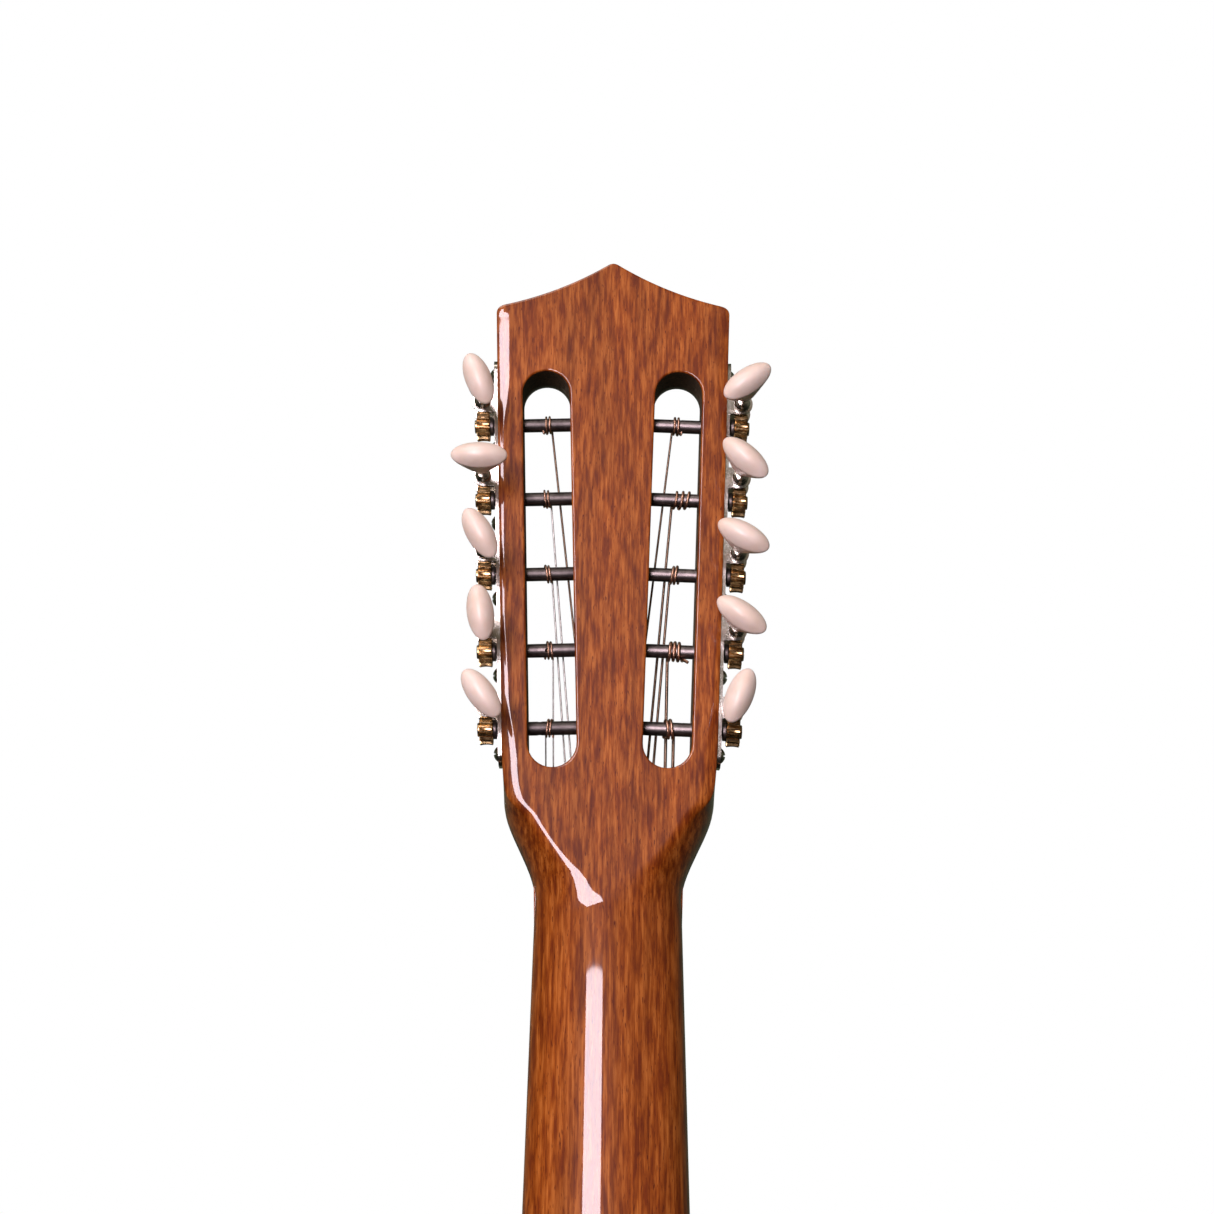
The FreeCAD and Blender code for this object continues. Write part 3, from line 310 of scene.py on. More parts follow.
def crown_outline():
    """(s, x, inward direction) along the head's crown, from the side over the corner to the apex."""
    corner_x = SIDE_AT_NUT + SIDE_SLOPE * CORNER_S
    rise, run = APEX_S - CORNER_S, corner_x
    chord = math.hypot(rise, run)
    mid = Vector((corner_x / 2 - CROWN_SAG * rise / chord, (CORNER_S + APEX_S) / 2 - CROWN_SAG * run / chord))
    a, b = Vector((corner_x, CORNER_S)), Vector((0.0, APEX_S))
    control = mid * 2 - (a + b) / 2
    upward = Vector((SIDE_SLOPE, 1.0))
    side = [a - upward * d for d in (9, 5, 4.2, 3.4)]
    curve = bent(a, control, b, 40)
    corner = bent(a - upward * 2.6, a, curve[3], 8)
    apex = bent(curve[38], b, Vector((-curve[38].x, curve[38].y)), 16)[:9]
    points = side + corner + curve[4:38] + apex
    out = []
    for k, p in enumerate(points):
        before = points[max(0, k - 1)]
        after = points[k + 1] if k + 1 < len(points) else Vector((-points[k - 1].x, points[k - 1].y))
        along = (after - before).normalized()
        out.append((p.y, max(0.0, p.x), (-along.y, along.x)))
    return out


def stadium(grow):
    """The slot's outline in the side's own frame, as (x, s), grown all round."""
    end = SLOT_WIDTH / 2
    radius = end + grow
    points = []
    for centre, first in ((SLOT_HIGH - end, 0.0), (SLOT_LOW + end, math.pi)):
        for share in shares(16):
            turn = first + math.pi * share
            points.append((radius * math.cos(turn) - SLOT_CENTRE, centre + radius * math.sin(turn)))
    return points


def fill_between(bm, loops):
    """Fills a flat face that has holes."""
    edges = []
    for loop in loops:
        for pair in zip(loop, loop[1:] + loop[:1]):
            edges.append(bm.edges.get(pair) or bm.edges.new(pair))
    bmesh.ops.triangle_fill(bm, use_beauty=True, use_dissolve=False, edges=edges)


def half_of_neck(bm, matrix):
    """One half of neck and head. Returns the vertices that bound the flat back and the front."""
    # close rows in the heel, wide ones along the neck, close ones again at the swelling
    heel_rows = [BODY_TOP - 1.5 + (HEEL_START + 10 - BODY_TOP) * k / 30 for k in range(31)]
    shaft_rows = [HEEL_START + 30 + (SWELL_FOOT - HEEL_START - 30) * k / 12 for k in range(12)]
    swell_rows = [SWELL_FOOT - SWELL_FOOT * k / 18 for k in range(18)] + [0.0, 0.3, 1.0, 2.0]
    rows = [[matrix @ p for p in swelling_row(z)] for z in heel_rows + shaft_rows + swell_rows]
    low = grid(bm, rows)
    keep = WALL_COLS + EDGE_COLS + 1
    upper = []
    s = 2.0 / math.cos(LEAN)
    while s < ROUND_TOP:
        s += 1.2
        level = swelling_row(s * math.cos(LEAN), middle=False)
        mix = smooth_step((s - 6) / 24)
        shear = 1 - smooth_step((s - 8) / 30)
        deep = flare_depth(s * math.cos(LEAN)) * math.cos(LEAN)
        wall = wall_row(s, head_half(s), (-1.0, 0.0), shear, max(deep, ROUND_LEAST))
        upper.append([matrix @ a.lerp(b, mix) for a, b in zip(level, wall)])
    for share in shares(40)[1:]:
        s = ROUND_TOP + (CORNER_S - 12 - ROUND_TOP) * share
        wall = wall_row(s, head_half(s), (-1.0, 0.0), 0.0, FLAT_SIDE)
        upper.append([matrix @ p for p in wall])
    for s, x, inward in crown_outline():
        upper.append([matrix @ p for p in wall_row(s, x, inward, 0.0, FLAT_SIDE)])
    first, high = low[-1], grid(bm, upper)
    for j in range(keep - 1):
        bm.faces.new((first[j], first[j + 1], high[0][j + 1], high[0][j]))
    ridge = list(reversed(low[-1][keep - 1:])) + [row[-1] for row in high]
    return ridge, [row[0] for row in low + high]


def slot_walls(bm, matrix):
    """The walls of one slot with rounded rims. Returns the rims at the back and at the front."""
    rim_steps, rows = 6, []
    for share in shares(rim_steps):
        turn = math.pi / 2 * share
        rows.append((SLOT_RIM * (1 - math.sin(turn)), THICKNESS - SLOT_RIM * (1 - math.cos(turn))))
    rows += [(0.0, 12.0), (0.0, 7.0), (0.0, VENEER)]
    points = []
    for grow, depth in rows:
        points.append([matrix @ (SIDE @ Vector((x, depth, s))) for x, s in stadium(grow)])
    verts = grid(bm, points, closed=True)
    # below the rims the walls take the second material, whose dark colour is painted shade
    for ring in verts[rim_steps:]:
        for vert in ring:
            for face in vert.link_faces:
                face.material_index = 1
    return verts[0], verts[-1]


def joined(line, mirrored, choose=list):
    """One loop from two half outlines, without the vertices that were merged away or come twice."""
    halves = [choose([v for v in half if v.is_valid]) for half in (line, mirrored)]
    return list(dict.fromkeys(halves[0] + halves[1][::-1]))


def on_head(verts):
    """Those of the vertices that lie on the veneer's face of the head."""
    return [v for v in verts if (HEAD.inverted() @ v.co).y > VENEER - 0.01]


def build_neck(material, bare_and_painted_shade):
    """The neck with head and heel, in one piece; the slots' walls are of bare wood whose colour is darkened
    as painted shade.
    """
    bm = bmesh.new()
    ridge, front = half_of_neck(bm, Matrix.Identity(4))
    ridge_b, front_b = half_of_neck(bm, MIRROR)
    back_rims, front_rims = [], []
    for matrix in (Matrix.Identity(4), MIRROR):
        back_rim, front_rim = slot_walls(bm, matrix)
        back_rims.append(back_rim)
        front_rims.append(front_rim)
    bmesh.ops.remove_doubles(bm, verts=bm.verts, dist=1e-4)
    fill_between(bm, [joined(ridge, ridge_b)] + back_rims)
    fill_between(bm, [joined(front, front_b, on_head)] + front_rims)
    piece = finish_mesh("neck_wood", bm, material, replaced=("neck",))
    # the second material, for the slots' walls, is darkened as painted shade
    piece.data.materials.append(bare_and_painted_shade)
    weighted = piece.modifiers.new("even_normals", "WEIGHTED_NORMAL")
    weighted.keep_sharp = True
    return piece


# ---------------------------------------------------------------- bores and tuning machines
ROLLER_S = [51.2 + 26.2 * k for k in range(5)]
ROLLER_DEPTH, ROLLER_RADIUS = 10.0, 2.3
BORE_ROOM = 0.3
SCREW_RADIUS, SCREW_HEIGHT, SCREW_SLOT_HALF = 2.3, 0.75, 0.35
BUTTON_START, BUTTON_LENGTH = 30.5, 13.0
BUTTON_ANGLE = {"treble": (35.0, 7.0, 28.0, 88.0, 20.0), "bass": (20.0, -57.0, -63.0, -50.0, 52.0)}
# the strings on their rollers, from the nut to the tip
WINDING_INSET = (14.3, 17.2, 17.2, 17.3, 18.0)
WINDING_WAY = (-1, 1, 1, 1, 1)    # inward or outward along the roller
LEAST_WIRE = 0.38                 # the turns' wire is drawn at least this thick, as a radius
STRING_RADIUS = {"treble": (0.25, 0.25, 0.3, 0.3, 0.38), "bass": (0.55, 0.55, 0.45, 0.45, 0.43)}
TURNS = {"treble": (2.3, 2.2, 2.1, 2.2, 2.3), "bass": (2.2, 3.3, 2.2, 3.1, 2.3)}
LOOSE_END = {"treble": (0, 0, 0, 0, 0), "bass": (0, 5.0, 0, 0, 0)}
TURN_GAP = {"treble": (0.35, 0.35, 0.35, 0.35, 0.35), "bass": (0.35, 0.35, 0.35, 1.1, 0.35)}
HOLE_TURN = {"treble": (80, -8, 60, 75, 100), "bass": (70, 95, 60, 85, 75)}


def side_matrix(side):
    """The frame of one side of the head; the bass side mirrors the treble side."""
    return SIDE if side == "treble" else MIRROR @ SIDE


def along_x(s):
    """Local frame whose Z points out of the side along a roller's axis."""
    return Matrix.Translation((0, ROLLER_DEPTH, s)) @ Matrix.Rotation(math.pi / 2, 4, "Y")


def along_depth(s):
    """Local frame whose Z points out of the head's back along a worm's axis."""
    return Matrix.Translation((GEAR_OUT, 0, s + WORM_UP)) @ Matrix.Rotation(-math.pi / 2, 4, "X")


def carve(piece, cutter_bm):
    """Takes the cutter's shape, in millimetres, out of the piece for good."""
    bmesh.ops.recalc_face_normals(cutter_bm, faces=cutter_bm.faces)
    bmesh.ops.scale(cutter_bm, vec=(MM, MM, MM), verts=cutter_bm.verts)
    mesh = bpy.data.meshes.new("cutter")
    cutter_bm.to_mesh(mesh)
    cutter_bm.free()
    cutter = bpy.data.objects.new("cutter", mesh)
    bpy.context.scene.collection.objects.link(cutter)
    cut = piece.modifiers.new("cut", "BOOLEAN")
    cut.operation = "DIFFERENCE"
    cut.solver = "EXACT"
    cut.object = cutter
    bpy.context.view_layer.update()
    graph = bpy.context.evaluated_depsgraph_get()
    result = bpy.data.meshes.new_from_object(piece.evaluated_get(graph))
    piece.modifiers.clear()
    old = piece.data
    piece.data = result
    bpy.data.meshes.remove(old)
    bpy.data.objects.remove(cutter)
    piece.data.set_sharp_from_angle(angle=math.radians(38))


def roller(side, place, material):
    """The roller across the slot, with its collar and the hole for the string."""
    axis = side_matrix(side) @ along_x(ROLLER_S[place])
    bm = bmesh.new()
    profile = [(-28.9, 0.4), (-28.9, ROLLER_RADIUS), (1.7, ROLLER_RADIUS), (1.7, 3.2), (3.0, 3.2), (3.0, 1.4),
               (4.3, 1.4), (4.3, 0.3)]
    lathe(bm, rounded(profile, 0.35), axis, 40)
    piece = finish_mesh(f"roller_{side}_{place + 1}_steel", bm, material,
                        body=f"drum_{side}_{place + 1}", replaced=(f"roller_{side}_{place + 1}",))
    hole = bmesh.new()
    turn = Matrix.Rotation(math.radians(HOLE_TURN[side][place]), 4, "Z")
    inset = -WINDING_INSET[place] + (1.9 if side == "treble" else 2.4)
    across = axis @ Matrix.Translation((0, 0, inset)) @ turn @ Matrix.Rotation(-math.pi / 2, 4, "X")
    lathe(hole, [(-4.0, 0.75), (4.0, 0.75)], across, 20)
    carve(piece, hole)


def gear(side, place, material):
    """The worm wheel: fifteen slanting teeth, hollowed to hug the worm, and a turned hub."""
    teeth, tip, root, half = 15, 5.2, 4.1, GEAR_HALF
    axis = side_matrix(side) @ along_x(ROLLER_S[place])
    slant = 0.07 if side == "treble" else -0.07
    bm = bmesh.new()
    widths = (-1.0, -0.9, -0.6, -0.3, 0.0, 0.3, 0.6, 0.9, 1.0)
    rows = []
    for w in widths:
        throat = 0.28 * (1 - w * w)
        chamfer = 0.3 if abs(w) == 1.0 else 0.0
        row = []
        for k, angle in enumerate(turns_of(teeth * 8)):
            phase = (k % 8) / 8
            lift = min(1.0, max(0.0, 1.75 - abs(phase - 0.5) * 5.6))
            radius = root + (tip - throat - chamfer - root) * lift
            row.append(axis @ spun(radius, angle + slant * w / 2, GEAR_OUT + half * w))
        rows.append(row)
    verts = grid(bm, rows, closed=True)
    for ring, w in ((verts[0], -1), (verts[-1], 1)):
        inner = []
        for radius, out in ((3.55, 0.0), (3.4, -0.35), (2.5, -0.35), (2.35, 0.0), (1.45, 0.0)):
            height = GEAR_OUT + (half + out) * w
            inner.append([bm.verts.new(axis @ spun(radius, turn + slant * w / 2, height))
                          for turn in turns_of(teeth * 8)])
        for a, b in zip([ring] + inner, inner):
            for k in range(len(a)):
                j = (k + 1) % len(a)
                bm.faces.new((a[k], a[j], b[j], b[k]))
        bm.faces.new(inner[-1])
    finish_mesh(f"gear_{side}_{place + 1}_brass", bm, material, sharp=30,
                body=f"drum_{side}_{place + 1}")


def screw_slot(base, top, radius, axis, turn):
    """The bar that cuts the slot of a screw's head."""
    bm = bmesh.new()
    corners = []
    for x in (-radius - 1, radius + 1):
        for y in (-SCREW_SLOT_HALF, SCREW_SLOT_HALF):
            for z in (base, top):
                corners.append(bm.verts.new(axis @ Matrix.Rotation(turn, 4, "Z") @ Vector((x, y, z))))
    for a, b, c, d in ((0, 1, 3, 2), (4, 6, 7, 5), (0, 4, 5, 1), (2, 3, 7, 6), (0, 2, 6, 4), (1, 5, 7, 3)):
        bm.faces.new((corners[a], corners[b], corners[c], corners[d]))
    return bm


def gear_screw(side, place, material):
    """The pan-head screw that holds the gear, each slot at a turn of its own."""
    axis = side_matrix(side) @ along_x(ROLLER_S[place])
    outer = GEAR_OUT + GEAR_HALF
    flat, crest = outer + SCREW_HEIGHT, outer + SCREW_HEIGHT + 0.12
    bm = bmesh.new()
    profile = rounded([(outer, SCREW_RADIUS), (flat, SCREW_RADIUS), (crest, 0.0)], 0.5, 5)
    lathe(bm, [(outer, 0.05)] + profile[:-1] + [(crest, 0.05)], axis)
    piece = finish_mesh(f"gear_screw_{side}_{place + 1}", bm, material,
                        body=f"drum_{side}_{place + 1}")
    carve(piece, screw_slot(outer + 0.35, outer + 3, SCREW_RADIUS, axis, 0.5 + place * 1.1))


def worm(side, place, material):
    """Worm, shaft and fluted ferrule in one turned piece."""
    axis = side_matrix(side) @ along_depth(ROLLER_S[place])
    bm = bmesh.new()
    foot = [(2.8, 0.2), (2.8, 2.3), (3.7, 2.3), (3.7, 1.3), (5.4, 1.3), (5.4, 1.15), (5.6, 1.15)]
    lathe(bm, rounded(foot, 0.25), axis)
    thread(bm, axis, 5.5, 14.6, 1.1, 1.6, 2.05, -1 if side == "treble" else 1)
    shaft = [(14.5, 1.1), (14.6, 1.3), (16.3, 1.3), (16.3, 2.5), (16.8, 2.75), (17.6, 2.3), (17.9, 1.7),
             (24.4, 1.65), (24.8, 2.3), (25.5, 2.45), (25.9, 1.95), (26.4, 2.3)]
    lathe(bm, rounded(shaft, 0.25), axis)
    ferrule(bm, axis)
    finish_mesh(f"worm_{side}_{place + 1}_nickel", bm, material, sharp=34,
                body=f"tuner_{side}_{place + 1}", replaced=(f"worm_{side}_{place + 1}",))


def thread(bm, axis, low, high, root, tip, pitch, hand):
    """A helical thread that fades in and out at its ends."""
    steps, per_pitch, run_out = 28, 10, 0.8
    rows = []
    for share in shares(int((high - low) / pitch * per_pitch)):
        height = low + (high - low) * share
        fade = max(0.0, min(1.0, (height - low) / run_out, (high - height) / run_out))
        row = []
        for turn in turns_of(steps):
            phase = (height / pitch + hand * turn / (2 * math.pi)) % 1.0
            lift = min(1.0, max(0.0, 1.8 - abs(phase - 0.5) * 6.0)) * fade
            row.append(axis @ spun(root + (tip - root) * lift, turn, height))
        rows.append(row)
    tube(bm, rows)


def ferrule(bm, axis):
    """The flared metal cup that holds the button, with fine flutes round it."""
    flutes, steps = 18, 108
    profile = [(26.2, 1.2, 0), (26.2, 2.4, 0), (26.8, 2.7, 0), (27.3, 2.8, 1), (28.3, 3.1, 1), (29.4, 3.4, 1),
               (29.9, 3.5, 0), (30.4, 3.55, 0), (30.8, 3.4, 0), (30.8, 1.2, 0)]
    rows = []
    for height, radius, fluted in profile:
        row = []
        for turn in turns_of(steps):
            groove = 0.16 * (1 - abs(math.cos(flutes * turn / 2))) if fluted else 0.0
            row.append(axis @ spun(radius - groove, turn, height))
        rows.append(row)
    tube(bm, rows)


def button(side, place, material):
    """An oval bean: it widens from the ferrule to a soft rim and closes in a low dome."""
    s = ROLLER_S[place]
    turned = Matrix.Rotation(math.radians(BUTTON_ANGLE[side][place]), 4, "Y")
    axis = side_matrix(side) @ Matrix.Translation((GEAR_OUT, 0, s + WORM_UP)) @ turned
    # how far along the button, half its length across and half its thickness there
    flank = [(0.0, 3.0, 2.6), (0.0, 3.9, 3.4), (0.03, 4.3, 3.62), (0.12, 5.2, 3.74), (0.25, 6.5, 3.87),
             (0.38, 7.6, 3.98), (0.50, 8.4, 4.1), (0.60, 8.93, 4.22), (0.66, 9.12, 4.29), (0.685, 9.18, 4.32)]
    rim = 0.70
    dome = []
    for k in range(1, 15):
        shrink = 1 - (k / 15) ** 1.25
        dome.append((rim + 0.015 + (0.985 - rim) * (1 - shrink ** 2.3), 9.15 * shrink, 4.3 * shrink))
    bm = bmesh.new()
    rows = []
    for share, long_half, thick_half in flank + [(rim, 9.2, 4.34)] + dome:
        out = BUTTON_START + share * BUTTON_LENGTH
        rows.append([axis @ Vector((thick_half * math.sin(turn), out, long_half * math.cos(turn)))
                     for turn in turns_of(56)])
    verts = grid(bm, rows, closed=True)
    bm.faces.new(verts[0])
    tip = bm.verts.new(axis @ Vector((0, BUTTON_START + BUTTON_LENGTH, 0)))
    for a, b in zip(verts[-1], verts[-1][1:] + verts[-1][:1]):
        bm.faces.new((a, b, tip))
    finish_mesh(f"button_{side}_{place + 1}_bean", bm, material, sharp=60,
                body=f"tuner_{side}_{place + 1}", replaced=(f"button_{side}_{place + 1}",))


def sweep(bm, points, radius):
    """A tube along points; its cross-section is carried along without twisting."""
    count, sides = len(points), 10
    tangents = [(points[min(i + 1, count - 1)] - points[max(i - 1, 0)]).normalized() for i in range(count)]
    normal = tangents[0].orthogonal().normalized()
    rows = []
    for i, (point, tangent) in enumerate(zip(points, tangents)):
        normal = (normal - tangent * normal.dot(tangent)).normalized()
        other = tangent.cross(normal)
        rows.append([point + (normal * math.cos(turn) + other * math.sin(turn)) * radius
                     for turn in turns_of(sides)])
    tube(bm, rows)


def winding(side, place, material):
    """The string's turns round its roller, from the hole to where it leaves for the nut."""
    thick, turns = max(STRING_RADIUS[side][place], LEAST_WIRE), TURNS[side][place]
    s, start = ROLLER_S[place], -WINDING_INSET[place]
    reach = ROLLER_RADIUS + thick + 0.02
    pitch = 2 * thick + TURN_GAP[side][place]
    lean = math.atan2(ROLLER_DEPTH + 9.0, s)
    points = []
    count = int(turns * 36)           # a point every ten degrees
    for k in range(count + 1):
        turn = 2 * math.pi * turns * k / count
        angle = -math.pi / 2 + lean - turn
        wander = 0.22 * math.sin(turn * 0.9 + place * 1.7) * min(1.0, k / 20)
        lift = 0.10 * (1 + math.sin(turn * 0.55 + place))
        out = start + WINDING_WAY[place] * pitch * turn / (2 * math.pi) + wander
        radius = reach + lift * min(1.0, k / 20)
        points.append(Vector((out, ROLLER_DEPTH + radius * math.sin(angle), s + radius * math.cos(angle))))
    length, base = LOOSE_END[side][place], points[-1]
    if length:
        along = (base - points[-2]).normalized()
        away = Vector((0, base.y - ROLLER_DEPTH, base.z - s)).normalized()
        for t in shares(12)[1:]:
            points.append(base + along * (length * t * (1 - 0.35 * t)) + away * (0.9 * t * t * length / 4)
                          + Vector((1.4 * t * t, 0, 0)))
    else:
        centre = Vector((base.x + 0.5, ROLLER_DEPTH, s))
        for t in (0.25, 0.5, 0.75):
            points.append(base.lerp(centre, t) + (points[-1] - points[-2]).normalized() * 0.2)
    bm = bmesh.new()
    sweep(bm, [side_matrix(side) @ p for p in points], thick)
    finish_mesh(f"winding_{side}_{place + 1}", bm, material, body=f"drum_{side}_{place + 1}")


def bore_cutters():
    """The rollers' bores in the head's sides, and the room that the strings need at the slots."""
    cutters = []
    for matrix in (SIDE, MIRROR @ SIDE):
        for s in ROLLER_S:
            bm = bmesh.new()
            axis = matrix @ along_x(s)
            lathe(bm, [(-29.4, ROLLER_RADIUS + BORE_ROOM), (2.0, ROLLER_RADIUS + BORE_ROOM)], axis, 28)
            cutters.append(bm)
        cutters += [slot_ramp(matrix), slot_relief(matrix)]
    return cutters


RAMP_LENGTH, RAMP_DEPTH, RELIEF_WIDTH, RELIEF_DEPTH = 18.0, 8.0, 2.0, 3.5


def slot_ramp(matrix):
    """The wedge below a slot's round end, where the strings sink into the head."""
    outer, inner = -SLOT_CENTRE + SLOT_WIDTH / 2 - 0.02, -SLOT_CENTRE - SLOT_WIDTH / 2 + 0.02
    low = SLOT_LOW + SLOT_WIDTH / 2 + 0.5
    side = [(-1.0, SLOT_LOW - RAMP_LENGTH), (0.0, SLOT_LOW - RAMP_LENGTH), (RAMP_DEPTH, low), (-1.0, low)]
    return prism([Vector((inner, depth, s)) for depth, s in side], Vector((outer - inner, 0, 0)), matrix)


def slot_relief(matrix):
    """The bevel along a slot's inner edge that leaves the crossing strings room."""
    edge, low, high = -SLOT_CENTRE - SLOT_WIDTH / 2, SLOT_LOW + SLOT_WIDTH / 2, SLOT_HIGH - SLOT_WIDTH / 2
    outline = [(edge - RELIEF_WIDTH, 0.0), (edge, RELIEF_DEPTH), (edge + 1, RELIEF_DEPTH), (edge + 1, -1.0),
               (edge - RELIEF_WIDTH, -1.0)]
    return prism([Vector((x, depth, low)) for x, depth in outline], Vector((0, 0, high - low)), matrix)


# ---------------------------------------------------------------- CAD shapes with softened edges
def softened(node, width, material):
    """A copy of a CAD node's mesh whose sharp edges are eased, standing for the node."""
    source, sharp, name = frame["nodes"][node], math.radians(35.0), node + "_soft"
    bm = bmesh.new()
    bm.from_mesh(source.data)
    bmesh.ops.remove_doubles(bm, verts=bm.verts, dist=2e-6)
    bmesh.ops.dissolve_limit(bm, angle_limit=math.radians(0.6), verts=bm.verts, edges=bm.edges)
    mesh = bpy.data.meshes.new(name)
    bm.to_mesh(mesh)
    bm.free()
    mesh.shade_smooth()
    mesh.set_sharp_from_angle(angle=sharp)
    mesh.materials.clear()
    mesh.materials.append(material)
    piece = bpy.data.objects.new(name, mesh)
    bpy.context.scene.collection.objects.link(piece)
    bevel = piece.modifiers.new("eased_edges", "BEVEL")
    bevel.width = width * MM
    bevel.segments = 2
    bevel.limit_method = "ANGLE"
    bevel.angle_limit = sharp
    bevel.harden_normals = True
    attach(piece, source["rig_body"])
    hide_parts(node)
    return piece


# ---------------------------------------------------------------- materials
def principled(name, color, roughness, metallic=0.0, coat=0.0):
    """A plain material, with its nodes, its links and its shader."""
    material = bpy.data.materials.new(name)
    material.use_nodes = True
    shader = material.node_tree.nodes["Principled BSDF"]
    shader.inputs["Base Color"].default_value = (*color, 1.0)
    shader.inputs["Roughness"].default_value = roughness
    shader.inputs["Metallic"].default_value = metallic
    shader.inputs["Coat Weight"].default_value = coat
    shader.inputs["Coat Roughness"].default_value = 0.03
    return material, material.node_tree.nodes, material.node_tree.links, shader


def noise(nodes, links, vector, scale, detail, rough):
    """Noise from 0 to 1 over the given coordinates."""
    node = nodes.new("ShaderNodeTexNoise")
    node.inputs["Scale"].default_value = scale
    node.inputs["Detail"].default_value = detail
    node.inputs["Roughness"].default_value = rough
    links.new(vector, node.inputs["Vector"])
    return node.outputs["Fac"]


def ramp(nodes, links, value, stops):
    """Colours along a value from 0 to 1."""
    node = nodes.new("ShaderNodeValToRGB")
    links.new(value, node.inputs["Fac"])
    elements = node.color_ramp.elements
    while len(elements) < len(stops):
        elements.new(0.5)
    for element, (place, color) in zip(elements, stops):
        element.position = place
        element.color = (*color, 1.0)
    return node.outputs["Color"]


def stretched(nodes, links, scale):
    """Object coordinates in metres, squeezed along the grain."""
    coord = nodes.new("ShaderNodeTexCoord")
    mapping = nodes.new("ShaderNodeMapping")
    mapping.inputs["Scale"].default_value = scale
    links.new(coord.outputs["Object"], mapping.inputs["Vector"])
    return mapping.outputs["Vector"]


def mix(nodes, links, kind, factor, a, b):
    """Two colours mixed; each input is a number, a colour or another node's output."""
    node = nodes.new("ShaderNodeMix")
    node.data_type = "RGBA"
    node.blend_type = kind
    for value, socket in ((factor, node.inputs[0]), (a, node.inputs[6]), (b, node.inputs[7])):
        if isinstance(value, (int, float)):
            socket.default_value = value
        elif isinstance(value, tuple):
            socket.default_value = (*value, 1.0)
        else:
            links.new(value, socket)
    return node.outputs[2]


def arithmetic(nodes, links, kind, a, b=0.0, c=0.0):
    """A sum on numbers or other nodes' outputs."""
    node = nodes.new("ShaderNodeMath")
    node.operation = kind
    for value, socket in zip((a, b, c), node.inputs):
        if isinstance(value, (int, float)):
            socket.default_value = value
        else:
            links.new(value, socket)
    return node.outputs[0]


def bump(nodes, links, shader, height, strength, distance):
    """Fine relief on the surface, as deep as distance in metres."""
    node = nodes.new("ShaderNodeBump")
    node.inputs["Strength"].default_value = strength
    node.inputs["Distance"].default_value = distance
    links.new(height, node.inputs["Height"])
    links.new(node.outputs["Normal"], shader.inputs["Normal"])


LONG_GRAIN, SHORT_GRAIN = (1, 1, 0.07), (1, 0.4, 0.10)    # how much the patterns are squeezed each way
GLOSS_SPREAD = 0.12                                      # how far a metal's roughness varies


def wood(name, light, middle, dark, pore, pores_at=0.58, grain=LONG_GRAIN, coat=1.0, roughness=0.42,
         figure=260, contrast=0.25):
    """Lacquered wood: slow bands of colour, fine fibres and short dark pores along the grain."""
    material, nodes, links, shader = principled(name, middle, roughness, coat=coat)
    shader.inputs["Specular IOR Level"].default_value = 0.1
    bands = noise(nodes, links, stretched(nodes, links, grain), figure, 3.0, 0.6)
    colour = ramp(nodes, links, bands, [(0.5 - contrast, dark), (0.5, middle), (0.5 + contrast, light)])
    broad = noise(nodes, links, stretched(nodes, links, grain), figure * 0.2, 2.0, 0.5)
    shade = ramp(nodes, links, broad, [(0.3, (0.82,) * 3), (0.7, (1.1,) * 3)])
    colour = mix(nodes, links, "MULTIPLY", 1.0, colour, shade)
    fibres = noise(nodes, links, stretched(nodes, links, tuple(c * c for c in grain)), figure * 3.2, 2.0, 0.6)
    tone = ramp(nodes, links, fibres, [(0.32, (0.72, 0.62, 0.54)), (0.68, (1.18, 1.2, 1.22))])
    colour = mix(nodes, links, "MULTIPLY", 1.0, colour, tone)
    pores = noise(nodes, links, stretched(nodes, links, grain), figure * 4.5, 1.0, 0.4)
    mask = ramp(nodes, links, pores, [(pores_at, (0, 0, 0)), (pores_at + 0.07, (1, 1, 1))])
    colour = mix(nodes, links, "MIX", mask, colour, pore)
    links.new(colour, shader.inputs["Base Color"])
    return material


def worn_metal(name, color, roughness, dirt, scale=900.0):
    """Metal with a faint tarnish in patches and fine handling marks in its gloss."""
    material, nodes, links, shader = principled(name, color, roughness, metallic=1.0)
    patches = noise(nodes, links, stretched(nodes, links, (1, 1, 1)), scale * 0.25, 4.0, 0.6)
    links.new(ramp(nodes, links, patches, [(0.36, dirt), (0.6, color)]), shader.inputs["Base Color"])
    marks = noise(nodes, links, stretched(nodes, links, (1, 1, 1)), scale * 2, 3.0, 0.7)
    gloss = arithmetic(nodes, links, "MULTIPLY_ADD", marks, GLOSS_SPREAD * 2, roughness - GLOSS_SPREAD)
    links.new(gloss, shader.inputs["Roughness"])
    return material


def button_plastic():
    """Ivory-coloured plastic with a slow, faint marbling and a softly worn polish."""
    material, nodes, links, shader = principled("ivory_plastic", (0.80, 0.66, 0.57), 0.38)
    cloud = noise(nodes, links, stretched(nodes, links, (1, 1, 1)), 160.0, 3.0, 0.5)
    links.new(ramp(nodes, links, cloud, [(0.3, (0.76, 0.60, 0.50)), (0.7, (0.84, 0.70, 0.62))]),
              shader.inputs["Base Color"])
    shader.inputs["Subsurface Weight"].default_value = 0.12
    shader.inputs["Subsurface Radius"].default_value = (0.003, 0.0018, 0.0012)
    fine = noise(nodes, links, stretched(nodes, links, (1, 1, 1)), 2600.0, 3.0, 0.6)
    bump(nodes, links, shader, fine, 0.12, 0.00004)
    return material


def bone(name, color):
    """Bone or pale binding with fine streaks."""
    material, nodes, links, shader = principled(name, color, 0.35)
    streak = noise(nodes, links, stretched(nodes, links, (0.1, 1, 1)), 1500.0, 3.0, 0.5)
    darker = tuple(c * 0.86 for c in color)
    links.new(ramp(nodes, links, streak, [(0.35, darker), (0.65, color)]), shader.inputs["Base Color"])
    return material


